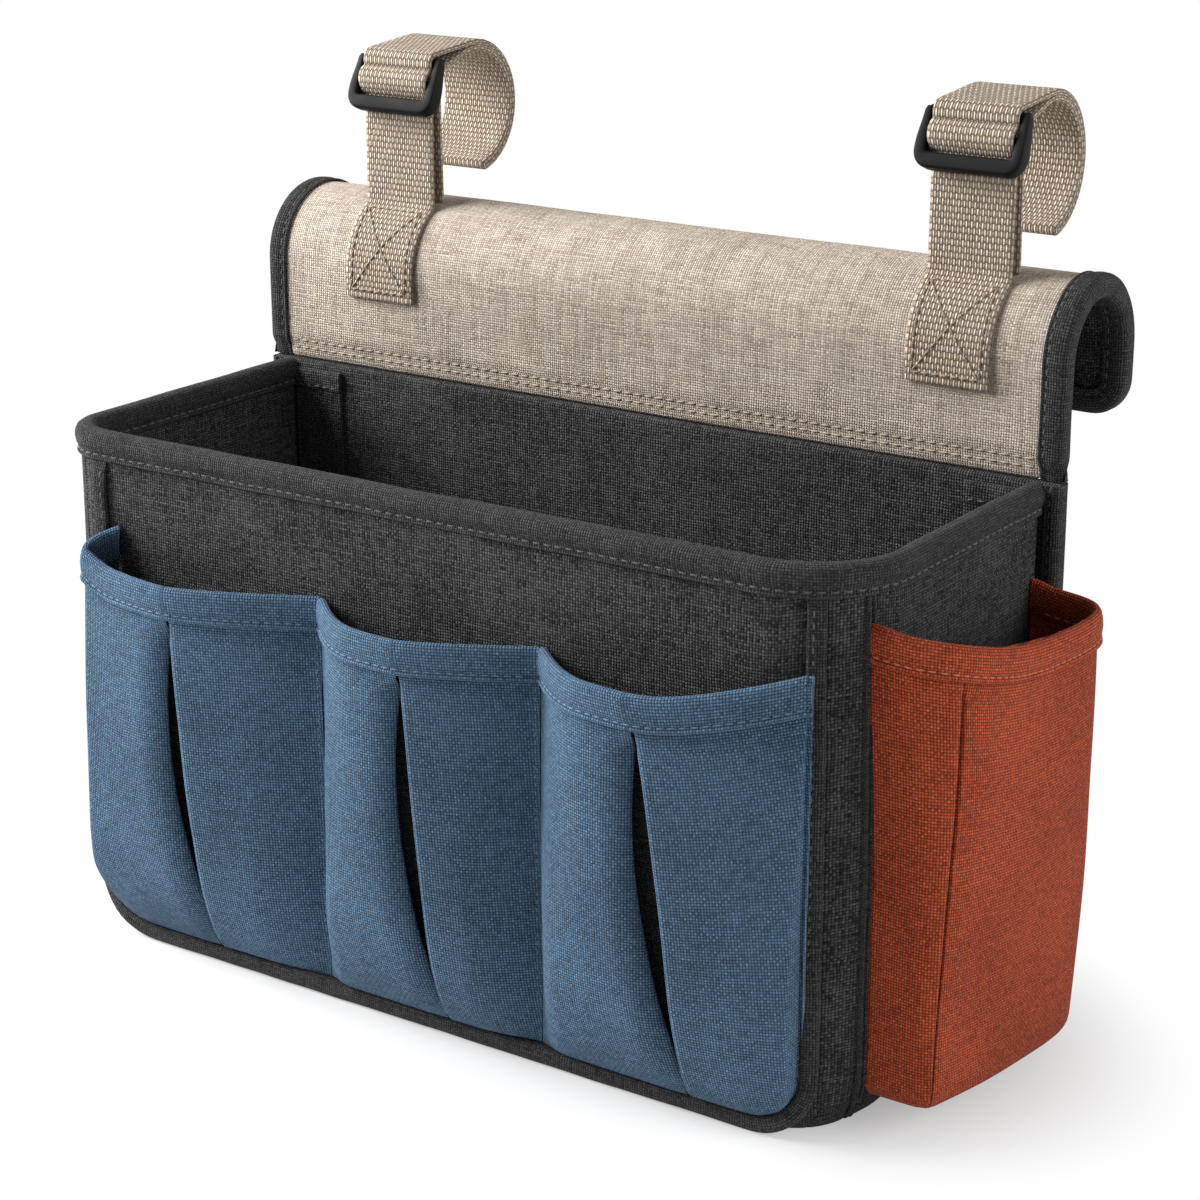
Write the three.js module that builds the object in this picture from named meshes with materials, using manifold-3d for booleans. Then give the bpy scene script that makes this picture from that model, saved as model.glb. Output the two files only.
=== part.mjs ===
// Hanging caddy: a sewn box with stiffening boards, pleated pockets, a U-shaped flap and two buckled hooks.
// Millimetres, +Z up, +X to the right seen from the front, +Y towards the flap.
// The origin is the middle of the base's underside.
import * as THREE from 'three';
import { mergeVertices } from 'three/addons/utils/BufferGeometryUtils.js';
import Module from 'manifold-3d';

// Clearances shared by all pieces
const gap = 0.3; // between pieces that touch
const through = 5; // how far a cutting body runs past what it cuts

// Box
const boxWidth = 330;
const boxDepth = 128; // front face to the back panel's front face
const rimHeight = 193;
const cornerRadius = 26; // front upright edges, seen from above
const frontRound = 4; // lower edge along the front
const sideRound = 12; // lower edge along the sides
const frontSeamAngle = 29; // degrees round the corner from the front face
const sideSeamAngle = 66;
const cornerSteps = 8;
const roundSteps = 4;
const baseInset = 13; // from the outer faces to the seam round the base

// Sewn panels and their boards
const skinThickness = 1;
const boardThickness = 2.2;
const wallThickness = 2 * skinThickness + boardThickness + 2 * gap;
const boardMargin = 4; // from a board's edge to the seam beside it
const boardFoot = 16; // height of the wall boards' lower edges

// Bindings, piping and facings
const tapeThickness = 0.9;
const tapeStack = tapeThickness + gap;
const rimBandHeight = 10.5;
const pipingRadius = 2.6;
const pipingBend = 18; // round of the front piping at the bottom corners
const seamPipingRadius = 1.5;
const facingWidth = 22;
const facingThickness = 1.2;
const facingDrop = 3; // below the rim

// Back panel
const backThickness = 6;
const backSkin = 1.2;
const backFlange = 6; // past the side walls
const backFoot = 2; // above the floor
const backBandDrop = 3; // of the edge bindings, below the panel's top
const backBoardInset = 11;

// Flap
const crownRadius = 27; // outer face
const flapRise = 66; // from the rim to the crown's top
const flapThickness = 6;
const flapSkin = 1.2;
const rearDrop = 52; // from the crown's top to the rear leg's hem
const rearCornerRadius = 12;
const flapBandWidth = 9;
const lipRadius = 1.8; // rounded lower edge that turns on the back panel's top
const lipHeight = 7; // from the fold up to the full thickness
const crownSteps = 12;

// Front pockets
const pocketSheet = 1.4;
const pocketDepth = 15;
const pocketBulge = 2.5; // extra depth half way up
const pocketDrop = 45; // from the box's rim to the hem's top edge
const pocketRimRise = 10; // of the outer ends above that
const pocketBottomRound = 9;
const pocketHem = 10.5;
const pocketGap = 0.6; // between neighbours and to the piping
const hemTape = 1;
const pleatDepth = 8;
const pleatRun = 9; // width over which the left half turns in
const foldRun = 1.2; // width of the fold's edge
const foldLift = 0.8; // fold's edge above the sheet
const pleatTop = 0.51; // share of the pocket's width, at the hem
const pleatFoot = 0.655; // share of the pocket's width, at the bottom
const pleatGather = 0.35; // share of the pleat's depth that is left at the bottom
const seamDepth = 0.9 * pocketSheet; // stand-off where a pocket is sewn down
const openEnd = 0.85; // depth share at the left pocket's open end
const openFoot = 0.75; // depth share at the right pocket's lower outer end
const openFootRun = 0.2; // share of the width over which that end swells
const rimSwell = 0.32; // share of the width over which a hem leaves its left seam
const footSwell = 0.14; // the same at the bottom
const rimTaper = 1.4; // how late a hem falls back to its right seam
const footShare = 0.45; // depth share right at the bottom edge
const leftRise = 0.25; // share of the width where the left pocket's rim climbs
const rightRise = 0.45; // the same for the right pocket

// Side pocket
const sideDepth = 31; // largest distance from the wall
const sideFrontDepth = 22; // at the front gusset
const sideSheet = 1.4;
const sideDrop = 22; // from the box's rim to the hem's front end
const sideSlope = 8; // how much lower the rear end hangs
const sideFoot = 13;
const sideBottomRound = 10;
const sideFootShare = 0.9; // depth at the bottom over depth at the rim
const sideHem = 10;
const sideFrontGap = 0.9; // from the seam piping
const sideRearGap = 2.4; // from the back panel's binding
const sideFrontRound = 4;
const sideRearRound = 20;
const sideRearFlank = 10; // depth left for the flank below the rear round

// Straps
const strapWidth = 32;
const strapThickness = 1.6;
const strapInsets = { left: 49, right: 37 }; // from the box's sides to the straps' middles
const patchDrop = 37; // from the crown's top to the patch's lower edge
const liftAngle = 56; // degrees up the crown where the riser leaves it
const liftBend = 5;
const tailPlace = 7.5; // in front of the crown's top

// Buckles
const buckleRise = 35.8; // from the crown's top to the bottom bar's middle
const buckleLean = 22; // degrees
const buckleRail = 3.6;
const buckleDepth = 4.4;
const buckleRound = 4.5;
const buckleBevel = 0.8;
const bottomBar = 5;
const barRadius = 2;
const slotHeight = 4.5;
const slotClearance = 0.4; // beside the webbing

// Hooks
const hookPly = 1.5;
const hookStrip = 0.7;
const hookRadius = 25.8; // outer face of the curl
const hookReach = 25; // from the buckle's top bar to the curl's middle
const hookDrop = 19;
const hookEnd = -76; // degrees, free end on the curl
const hookHem = 8; // degrees of curl sewn shut at the free end
const formerStart = 2; // degrees past that seam

// Worked out from the sizes above
const halfWidth = boxWidth / 2;
const frontY = -boxDepth / 2;
const backY = boxDepth / 2;
const wallTop = rimHeight - tapeStack;
const pocketRim = rimHeight - pocketDrop;
const sideRim = rimHeight - sideDrop;
const cornerX = halfWidth - cornerRadius;
const cornerY = frontY + cornerRadius;
const slotThickness = boardThickness + 2 * gap;
const backHalfWidth = halfWidth + backFlange;
const foldY = backY + backThickness / 2;
const foldZ = rimHeight + gap + lipRadius;
const lipTop = foldZ + lipHeight;
const crownHeight = rimHeight + flapRise;
const rearHemHeight = crownHeight - rearDrop;
const crownY = backY + crownRadius;
const crownZ = crownHeight - crownRadius;
const rearY = backY + 2 * crownRadius;
const patchFoot = crownHeight - patchDrop;
const buckleHeight = crownHeight + buckleRise;
const barPitch = 2 * barRadius + slotHeight;
const centreBarRise = bottomBar / 2 + slotHeight + barRadius;
const topBarRise = centreBarRise + barPitch;

const wasm = await Module();
wasm.setup();

const radians = THREE.MathUtils.degToRad;
const mix = THREE.MathUtils.lerp;

const materials = {
  charcoal: new THREE.MeshStandardMaterial({ color: 0x47494d, roughness: 0.95, metalness: 0 }),
  trim: new THREE.MeshStandardMaterial({ color: 0x3a3c40, roughness: 0.95, metalness: 0 }),
  linen: new THREE.MeshStandardMaterial({ color: 0xc4b39a, roughness: 0.95, metalness: 0 }),
  webbing: new THREE.MeshStandardMaterial({ color: 0xb9a487, roughness: 0.9, metalness: 0 }),
  blue: new THREE.MeshStandardMaterial({ color: 0x3f5f8c, roughness: 0.95, metalness: 0 }),
  rust: new THREE.MeshStandardMaterial({ color: 0xa5522f, roughness: 0.95, metalness: 0 }),
  buckle: new THREE.MeshStandardMaterial({ color: 0x27282a, roughness: 0.45, metalness: 0 }),
  board: new THREE.MeshStandardMaterial({ color: 0x8b8880, roughness: 0.8, metalness: 0 }),
};

// Closed mesh to a body that can be cut and joined
function toBody(geometry) {
  const bare = geometry.clone();
  bare.deleteAttribute('normal');
  bare.deleteAttribute('uv');
  const merged = mergeVertices(bare, 1e-4);
  return new wasm.Manifold(new wasm.Mesh({
    numProp: 3,
    vertProperties: new Float32Array(merged.attributes.position.array),
    triVerts: new Uint32Array(merged.index.array),
  }));
}

function toGeometry(body) {
  const mesh = body.getMesh();
  const geometry = new THREE.BufferGeometry();
  geometry.setAttribute('position', new THREE.BufferAttribute(mesh.vertProperties, 3));
  geometry.setIndex(new THREE.BufferAttribute(mesh.triVerts, 1));
  geometry.computeVertexNormals();
  return geometry;
}

function indexed(points, index) {
  const geometry = new THREE.BufferGeometry().setFromPoints(points);
  geometry.setIndex(index);
  return toBody(geometry);
}

function block(x0, x1, y0, y1, z0, z1) {
  const geometry = new THREE.BoxGeometry(x1 - x0, y1 - y0, z1 - z0);
  geometry.translate((x0 + x1) / 2, (y0 + y1) / 2, (z0 + z1) / 2);
  return toBody(geometry);
}

// Outline points with repeats and points on straight runs left out
function cleaned(points) {
  const near = (a, b) => a.distanceTo(b) < 1e-4;
  const single = points.filter((p, i) => !near(p, points[(i + 1) % points.length]));
  return single.filter((p, i) => {
    const before = single[(i + single.length - 1) % single.length];
    const after = single[(i + 1) % single.length];
    const turn = p.clone().sub(before).cross(after.clone().sub(p));
    return Math.abs(turn) > 1e-6;
  });
}

function extrude(shape, length, basis) {
  const { shape: outline, holes } = shape.extractPoints(crownSteps);
  const clean = new THREE.Shape(cleaned(outline));
  clean.holes = holes.map((hole) => new THREE.Path(cleaned(hole)));
  const geometry = new THREE.ExtrudeGeometry(clean, { depth: length, bevelEnabled: false, steps: 1 });
  if (basis) geometry.applyMatrix4(new THREE.Matrix4().makeBasis(...basis));
  return geometry;
}

const alongX = [new THREE.Vector3(0, 1, 0), new THREE.Vector3(0, 0, 1), new THREE.Vector3(1, 0, 0)];
const alongY = [new THREE.Vector3(1, 0, 0), new THREE.Vector3(0, 0, 1), new THREE.Vector3(0, -1, 0)];

// A side-view outline (y, z) carried from x0 to x1
function extrudeX(shape, x0, x1) {
  return toBody(extrude(shape, x1 - x0, alongX).translate(x0, 0, 0));
}

// A front-view outline (x, z) carried from y0 to y1
function extrudeY(shape, y0, y1) {
  return toBody(extrude(shape, y1 - y0, alongY).translate(0, y1, 0));
}

// A top-view outline (x, y) carried from z0 to z1
function extrudeZ(points, z0, z1) {
  const shape = new THREE.Shape(points.map(([x, y]) => new THREE.Vector2(x, y)));
  return toBody(extrude(shape, z1 - z0).translate(0, 0, z0));
}

// Body through closed convex rings that run counter-clockwise seen from the last one
function loft(rings) {
  const count = rings[0].length;
  const index = [];
  for (let ring = 0; ring + 1 < rings.length; ring++) {
    for (let i = 0; i < count; i++) {
      const a = ring * count + i;
      const b = ring * count + ((i + 1) % count);
      index.push(a, b, b + count, a, b + count, a + count);
    }
  }
  const last = (rings.length - 1) * count;
  for (let i = 1; i + 1 < count; i++) {
    index.push(0, i + 1, i);
    index.push(last, last + i, last + i + 1);
  }
  return indexed(rings.flat(), index);
}

// How far a rounded lower edge draws in at a height above its foot
function drawIn(radius, height) {
  if (height >= radius) return 0;
  return radius - Math.sqrt(radius ** 2 - (radius - height) ** 2);
}

// Box seen from above, open towards the back: points with their outward normals and lower-edge rounds
function planOutline(rearY) {
  const outline = [{ x: -halfWidth, y: rearY, normal: [-1, 0], round: sideRound }];
  for (const side of [-1, 1]) {
    for (let step = 0; step <= cornerSteps; step++) {
      const share = step / cornerSteps;
      const turn = radians(90 * share + (side < 0 ? 180 : 270));
      const normal = [Math.cos(turn), Math.sin(turn)];
      outline.push({
        x: side * cornerX + cornerRadius * normal[0],
        y: cornerY + cornerRadius * normal[1],
        normal,
        round: side < 0 ? mix(sideRound, frontRound, share) : mix(frontRound, sideRound, share),
      });
    }
  }
  outline.push({ x: halfWidth, y: rearY, normal: [1, 0], round: sideRound });
  return outline;
}

function planRing(offset, rearY, z, inset) {
  return planOutline(rearY).map(({ x, y, normal, round }) => {
    const out = offset - inset(round);
    return new THREE.Vector3(x + normal[0] * out, y + normal[1] * out, z);
  });
}

function planPrism(offset, z0, z1, rearY) {
  return loft([z0, z1].map((z) => planRing(offset, rearY, z, () => 0)));
}

// Box body with rounded lower edges, offset from the outer faces
function tub(offset, floor, top, rearY) {
  const smallest = frontRound / 8;
  const own = (round) => Math.max(round + offset, smallest);
  const largest = own(sideRound);
  const rings = [];
  for (let step = 0; step <= roundSteps; step++) {
    const rise = largest * (1 - Math.cos(radians((90 * step) / roundSteps)));
    rings.push(planRing(offset, rearY, floor + rise, (round) => drawIn(own(round), rise)));
  }
  rings.push(planRing(offset, rearY, top, () => 0));
  return loft(rings);
}

const caddy = new THREE.Group();

function place(name, body, material) {
  const mesh = new THREE.Mesh(toGeometry(body), material);
  mesh.name = name;
  caddy.add(mesh);
  return mesh;
}

// Point at an angle round a front corner, from the front face towards the side
function cornerPoint(side, angle, radius) {
  return [
    side * (cornerX + radius * Math.sin(radians(angle))),
    cornerY - radius * Math.cos(radians(angle)),
  ];
}

function buildBox() {
  const rear = backY - gap;
  const outer = tub(0, 0, wallTop, rear);
  const inner = tub(-wallThickness, wallThickness, wallTop + through, rear + through);
  const shell = outer.subtract(inner);
  const seamHalf = gap / 2;
  const baseCut = (inset) => planPrism(-inset, -through, wallThickness, rear + through);
  const walls = shell.subtract(baseCut(baseInset - seamHalf));
  const baseSkin = shell.intersect(baseCut(baseInset + seamHalf));

  // Vertical seams are cut along rays from the corners' centres
  const reach = boxWidth;
  const turn = THREE.MathUtils.radToDeg(seamHalf / cornerRadius);
  const low = -through;
  const high = rimHeight;
  const centre = (side) => [side * cornerX, cornerY];
  const front = [
    centre(-1), cornerPoint(-1, frontSeamAngle - turn, reach),
    cornerPoint(1, frontSeamAngle - turn, reach), centre(1),
  ];
  const frontSlotY = frontY + wallThickness / 2;
  const frontBoardHalf = cornerX - boardMargin;
  const slot = (half) => [frontSlotY - half, frontSlotY + half];
  const frontSlot = block(
    -frontBoardHalf, frontBoardHalf, ...slot(slotThickness / 2), boardFoot, wallTop + through);
  const frontPanel = walls.intersect(extrudeZ(front, low, high)).subtract(frontSlot);
  place('front_panel', frontPanel, materials.charcoal);
  const frontBoard = block(
    gap - frontBoardHalf, frontBoardHalf - gap, ...slot(boardThickness / 2),
    boardFoot + gap, wallTop - gap);
  place('front_board', frontBoard, materials.board);

  for (const [name, side] of [['left', -1], ['right', 1]]) {
    const wedge = [
      centre(side), cornerPoint(side, frontSeamAngle + turn, reach),
      cornerPoint(side, sideSeamAngle - turn, reach),
    ];
    place(`${name}_corner`, walls.intersect(extrudeZ(wedge, low, high)), materials.charcoal);

    const flank = [
      centre(side), cornerPoint(side, sideSeamAngle + turn, reach),
      [side * reach, backY], [side * cornerX, backY],
    ];
    const boardX = side * (halfWidth - wallThickness / 2);
    const boardFront = cornerY + boardMargin;
    const boardRear = rear - boardMargin;
    const sideSlot = block(
      boardX - slotThickness / 2, boardX + slotThickness / 2,
      boardFront, boardRear, boardFoot, wallTop + through);
    const wall = walls.intersect(extrudeZ(flank, low, high)).subtract(sideSlot);
    place(`${name}_wall`, wall, materials.charcoal);
    const sideBoard = block(
      boardX - boardThickness / 2, boardX + boardThickness / 2,
      boardFront + gap, boardRear - gap, boardFoot + gap, wallTop - gap);
    place(`${name}_board`, sideBoard, materials.board);

    // Bead along the seam between corner strip and wall
    const [beadX, beadY] = cornerPoint(side, sideSeamAngle, cornerRadius + gap + seamPipingRadius);
    const bead = new THREE.CylinderGeometry(
      seamPipingRadius, seamPipingRadius, rimHeight - rimBandHeight - gap - sideRound, cornerSteps);
    bead.rotateX(Math.PI / 2);
    bead.translate(beadX, beadY, (rimHeight - rimBandHeight - gap + sideRound) / 2);
    place(`${name}_seam_piping`, toBody(bead), materials.trim);

    // Facing down the inner back corner
    const facingEdge = side * (halfWidth - wallThickness - tapeStack - gap);
    const facingEnds = [facingEdge, facingEdge - side * facingWidth].sort((a, b) => a - b);
    const facing = block(
      ...facingEnds, rear - facingThickness, rear, wallThickness + sideRound, rimHeight - facingDrop);
    place(`${name}_facing`, facing, materials.charcoal);
  }

  const baseSlotHalf = halfWidth - baseInset - boardMargin;
  const baseFront = frontY + baseInset + boardMargin;
  const baseMiddle = wallThickness / 2;
  const baseSlot = block(
    -baseSlotHalf, baseSlotHalf, baseFront, rear + through,
    baseMiddle - slotThickness / 2, baseMiddle + slotThickness / 2);
  place('base_panel', baseSkin.subtract(baseSlot), materials.charcoal);
  const baseBoard = block(
    gap - baseSlotHalf, baseSlotHalf - gap, baseFront + gap, rear,
    baseMiddle - boardThickness / 2, baseMiddle + boardThickness / 2);
  place('base_board', baseBoard, materials.board);

  // Tape folded over the walls' top edges
  const bandFoot = rimHeight - rimBandHeight;
  const mouth = planPrism(
    -wallThickness - tapeStack, bandFoot - through, rimHeight + through, rear + through);
  const band = planPrism(tapeStack, bandFoot, rimHeight, rear).subtract(mouth);
  const bandSlot = planPrism(gap, bandFoot - through, rimHeight - tapeThickness, rear + through)
    .subtract(planPrism(-wallThickness - gap, bandFoot - 2 * through, rimHeight, rear + 2 * through));
  place('rim_binding', band.subtract(bandSlot), materials.trim);
}

// Middle line of the front piping, seen from above, follows the front face round the corners
const pipingLine = cornerRadius + gap + pipingRadius;
const pipingX = cornerPoint(1, frontSeamAngle, pipingLine)[0];

function pipingY(x) {
  const past = Math.max(Math.abs(x) - cornerX, 0);
  return cornerY - Math.sqrt(pipingLine ** 2 - past ** 2);
}

// Round piping down one front seam, along the bottom and up the other
function buildFrontPiping() {
  const footZ = pipingRadius + gap;
  const bendSteps = 6;
  const sides = 8;
  const stations = [{ x: -pipingX, z: rimHeight - rimBandHeight - gap, heading: -90 }];
  for (const side of [-1, 1]) {
    for (let step = 0; step <= bendSteps; step++) {
      const heading = (90 * step) / bendSteps + (side < 0 ? -90 : 0);
      const out = radians(heading - 90);
      stations.push({
        x: side * (pipingX - pipingBend) + pipingBend * Math.cos(out),
        z: footZ + pipingBend + pipingBend * Math.sin(out),
        heading,
      });
    }
  }
  stations.push({ x: pipingX, z: rimHeight - rimBandHeight - gap, heading: 90 });
  const rings = stations.map(({ x, z, heading }) => {
    const across = radians(heading + 90);
    return Array.from({ length: sides }, (_, i) => {
      const turn = (2 * Math.PI * i) / sides;
      const out = pipingRadius * Math.cos(turn);
      const y = pipingY(x) - pipingRadius * Math.sin(turn);
      return new THREE.Vector3(x + out * Math.cos(across), y, z + out * Math.sin(across));
    });
  });
  place('front_piping', loft(rings), materials.trim);
}

function buildBackPanel() {
  const slotHalf = backHalfWidth - backBoardInset;
  const slotFoot = backFoot + boardMargin;
  const rear = backY + backThickness;
  const panel = block(-backHalfWidth, backHalfWidth, backY, rear, backFoot, rimHeight);
  const slot = block(
    -slotHalf, slotHalf, backY + backSkin, rear - backSkin, slotFoot, rimHeight + through);
  place('back_panel', panel.subtract(slot), materials.charcoal);
  const board = block(
    gap - slotHalf, slotHalf - gap, backY + backSkin + gap, rear - backSkin - gap,
    slotFoot + gap, rimHeight - gap);
  place('back_board', board, materials.board);

  // Tape folded round the two upright edges
  const bandTop = rimHeight - backBandDrop;
  for (const [name, side] of [['left', -1], ['right', 1]]) {
    const spanX = (from, to) => [side * from, side * to].sort((a, b) => a - b);
    const wrap = block(
      ...spanX(halfWidth + tapeStack + gap, backHalfWidth + tapeStack),
      backY - tapeStack, rear + tapeStack, backFoot, bandTop);
    const inside = block(
      ...spanX(halfWidth - through, backHalfWidth + gap),
      backY - gap, rear + gap, backFoot - through, bandTop + through);
    place(`${name}_back_binding`, wrap.subtract(inside), materials.trim);
  }
}

// Side view of one layer of the flap, between two depths measured inward from its outer face
function flapLayer(outer, inner, frontFoot, lip) {
  const rearFoot = crownZ - crownHeight;
  const shape = new THREE.Shape();
  shape.moveTo(backY + outer, frontFoot);
  shape.lineTo(backY + outer, crownZ);
  shape.absarc(crownY, crownZ, crownRadius - outer, Math.PI, 0, true);
  shape.lineTo(rearY - outer, rearFoot);
  shape.lineTo(rearY - inner, rearFoot);
  shape.lineTo(rearY - inner, crownZ);
  shape.absarc(crownY, crownZ, crownRadius - inner, 0, Math.PI, false);
  shape.lineTo(backY + inner, frontFoot);
  if (lip) {
    shape.lineTo(foldY + lipRadius, frontFoot);
    shape.lineTo(foldY + lipRadius, foldZ);
    shape.absarc(foldY, foldZ, lipRadius, 0, -Math.PI, true);
  }
  shape.closePath();
  return shape;
}

// What the round lower corners of the rear leg take away
function rearCorners(half, foot, radius) {
  const cuts = [-1, 1].map((side) => {
    const shape = new THREE.Shape();
    shape.moveTo(side * (half + through), foot - through);
    shape.lineTo(side * (half + through), foot + radius);
    shape.lineTo(side * half, foot + radius);
    const centreX = side * (half - radius);
    shape.absarc(centreX, foot + radius, radius, side > 0 ? 0 : Math.PI, -Math.PI / 2, side > 0);
    shape.lineTo(centreX, foot - through);
    shape.closePath();
    return extrudeY(shape, crownY, rearY + 2 * through);
  });
  return cuts[0].add(cuts[1]);
}

function flapBody(outer, inner, half, frontFoot, rearFoot, radius, lip = false) {
  const body = extrudeX(flapLayer(outer, inner, frontFoot, lip), -half, half);
  const below = block(
    -half - through, half + through, crownY, rearY + 2 * through, -crownHeight, rearFoot);
  return body.subtract(below).subtract(rearCorners(half, rearFoot, radius));
}

function buildFlap() {
  const half = backHalfWidth;
  const inside = lipTop + gap;
  const coreOuter = flapSkin + gap;
  const coreInner = flapThickness - flapSkin - gap;
  const cover = flapBody(0, flapSkin, half, lipTop, rearHemHeight, rearCornerRadius, true);
  place('flap_cover', cover, materials.linen);
  const lining = flapBody(
    flapThickness - flapSkin, flapThickness, half, inside, rearHemHeight, rearCornerRadius);
  place('flap_lining', lining, materials.charcoal);
  const former = flapBody(coreOuter, coreInner, half, inside, rearHemHeight, rearCornerRadius);
  place('flap_former', former, materials.board);

  // One tape round both ends and the rear hem
  const tape = flapBody(
    -tapeStack, flapThickness + tapeStack, half + tapeStack, lipTop, rearHemHeight - tapeStack,
    rearCornerRadius + tapeStack);
  const window = flapBody(
    -through, flapThickness + through, half + tapeStack - flapBandWidth, lipTop - through,
    rearHemHeight - tapeStack + flapBandWidth, rearCornerRadius / 2);
  const slot = flapBody(
    -gap, flapThickness + gap, half + gap, lipTop - through, rearHemHeight - gap, rearCornerRadius + gap);
  place('flap_binding', tape.subtract(window).subtract(slot), materials.trim);
}

// How far a front pocket stands off the wall
function pocketStandOff(pocket, u, v, rise) {
  const swell = (share) => Math.sin((Math.min(Math.max(share, 0), 1) * Math.PI) / 2);
  const leftTop = pocket.openLeft ? mix(openEnd, 1, swell(u / pleatTop)) : swell(u / rimSwell);
  const leftFoot = pocket.openLeft ? openEnd : swell(u / footSwell);
  const rightTop = 1 - Math.max((u - pleatTop) / (1 - pleatTop), 0) ** rimTaper;
  const rightFoot = pocket.openRight
    ? mix(openFoot, 1, swell((1 - u) / openFootRun))
    : swell((1 - u) / footSwell);
  const along = mix(leftFoot * rightFoot, leftTop * rightTop, v);
  const depth = pocketDepth + pocketBulge * Math.sin(Math.PI * v);
  const round = 1 - drawIn(pocketBottomRound, rise) / pocketBottomRound;
  return seamDepth + (depth - seamDepth) * along * mix(footShare, 1, round);
}

function pocketTop(pocket, u) {
  const left = pocket.openLeft ? Math.max(1 - u / leftRise, 0) : 0;
  const right = pocket.openRight ? Math.max(1 - (1 - u) / rightRise, 0) : 0;
  return pocketRim + pocketRimRise * (left ** 2 + right ** 1.5);
}

// Body between the front wall and a pocket's face moved inward by an offset
function pocketBody(pocket, offset, heights, backPlane) {
  const inward = Math.max(offset, 0);
  const width = pocket.x1 - pocket.x0;
  const endRound = pipingBend - pipingRadius - pocketGap;
  const tuck = (z) => inward + drawIn(endRound, Math.max(z - pocket.foot, 0));
  const leftShares = [0, 0.04, 0.12, 0.3, 0.62, 1];
  const rightShares = [0, 0.25, 0.55, 0.8, 0.93, 1];
  const points = [];
  const columns = leftShares.length + rightShares.length + 2;
  const rows = heights(0, pocketRim).length;
  for (let row = 0; row < rows; row++) {
    for (let column = 0; column < columns; column++) {
      const share = (z) => THREE.MathUtils.clamp((z - pocket.foot) / (pocketRim - pocket.foot), 0, 1);
      const heightAt = (x) => {
        const u = THREE.MathUtils.clamp((x - pocket.x0) / width, 0, 1);
        return heights(u, pocketTop(pocket, u))[row];
      };
      const middleZ = heightAt(pocket.x0 + width / 2);
      const guess = share(middleZ);
      const x0 = pocket.x0 + (pocket.openLeft ? tuck(middleZ) : inward);
      const x1 = pocket.x1 - (pocket.openRight ? tuck(middleZ) : inward);
      const pleatX = pocket.x0 + width * mix(pleatFoot, pleatTop, guess);
      const foldX = pleatX + foldRun + inward;
      const turnX = pleatX - pleatRun;
      let x;
      let depthShare = 0;
      let lift = 0;
      if (column < leftShares.length) {
        x = mix(x0, turnX, leftShares[column]);
      } else if (column === leftShares.length) {
        x = pleatX - pleatRun / 3;
        depthShare = 0.55;
      } else if (column === leftShares.length + 1) {
        x = pleatX;
        depthShare = 1;
      } else {
        const along = rightShares[column - leftShares.length - 2];
        x = mix(foldX, x1, along);
        lift = along === 0 ? foldLift : 0;
      }
      const z = heightAt(x);
      const v = share(z);
      const u = THREE.MathUtils.clamp((x - pocket.x0) / width, 0, 1);
      const belly = Math.sin(Math.PI * v);
      const dart = pleatDepth * (1 - v ** 4) * mix(pleatGather, 1, belly);
      const rise = Math.max(z - pocket.foot, 0);
      const out = pocketStandOff(pocket, u, v, rise) - depthShare * dart + lift * belly - offset;
      points.push(new THREE.Vector3(x, pocket.plane - out, z));
    }
  }
  const count = points.length;
  for (let i = 0; i < count; i++) {
    points.push(new THREE.Vector3(points[i].x, backPlane, points[i].z));
  }
  const index = [];
  const quad = (a, b, c, d) => index.push(a, b, c, a, c, d);
  for (let row = 0; row + 1 < rows; row++) {
    for (let column = 0; column + 1 < columns; column++) {
      const a = row * columns + column;
      quad(a, a + 1, a + 1 + columns, a + columns);
      quad(count + a, count + a + columns, count + a + 1 + columns, count + a + 1);
    }
    const left = row * columns;
    const right = left + columns - 1;
    quad(left, left + columns, count + left + columns, count + left);
    quad(right, count + right, count + right + columns, right + columns);
  }
  const top = (rows - 1) * columns;
  for (let column = 0; column + 1 < columns; column++) {
    quad(column, count + column, count + column + 1, column + 1);
    quad(top + column, top + column + 1, count + top + column + 1, count + top + column);
  }
  return indexed(points, index);
}

function buildFrontPockets() {
  const span = 2 * (pipingX - pipingRadius - pocketGap);
  const names = ['left', 'middle', 'right'];
  const pitch = (span + pocketGap) / names.length;
  const foot = gap + 2 * pipingRadius + pocketGap;
  const plane = frontY - gap;
  names.forEach((name, order) => {
    const x0 = -span / 2 + order * pitch;
    const pocket = {
      x0, x1: x0 + pitch - pocketGap, foot, plane,
      openLeft: order === 0, openRight: order === names.length - 1,
    };
    const rowShares = [0.012, 0.035, 0.09, 0.3, 0.6, 0.85];
    const middleRows = (top) => rowShares.map((share) => mix(foot, top, share));
    const sheetRows = (u, top) => [foot, ...middleRows(top), top];
    const openRows = (u, top) => [foot + pocketSheet, ...middleRows(top), top + through];
    const sheet = pocketBody(pocket, 0, sheetRows, plane);
    const space = pocketBody(pocket, pocketSheet, openRows, plane + 1);
    place(`${name}_pocket`, sheet.subtract(space), materials.blue);

    // Folded hem over the pocket's top edge
    const stack = gap + hemTape;
    const hemRows = (low, high) => (u, top) => [top - pocketHem - low, top + high];
    const over = pocketBody(pocket, -stack, hemRows(0, stack), plane)
      .subtract(pocketBody(pocket, pocketSheet + stack, hemRows(through, 2 * through), plane + 1));
    const under = pocketBody(pocket, -gap, hemRows(through, gap), plane + 1)
      .subtract(pocketBody(pocket, pocketSheet + gap, hemRows(2 * through, through), plane + 2));
    place(`${name}_pocket_hem`, over.subtract(under), materials.blue);
  });
}

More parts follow.
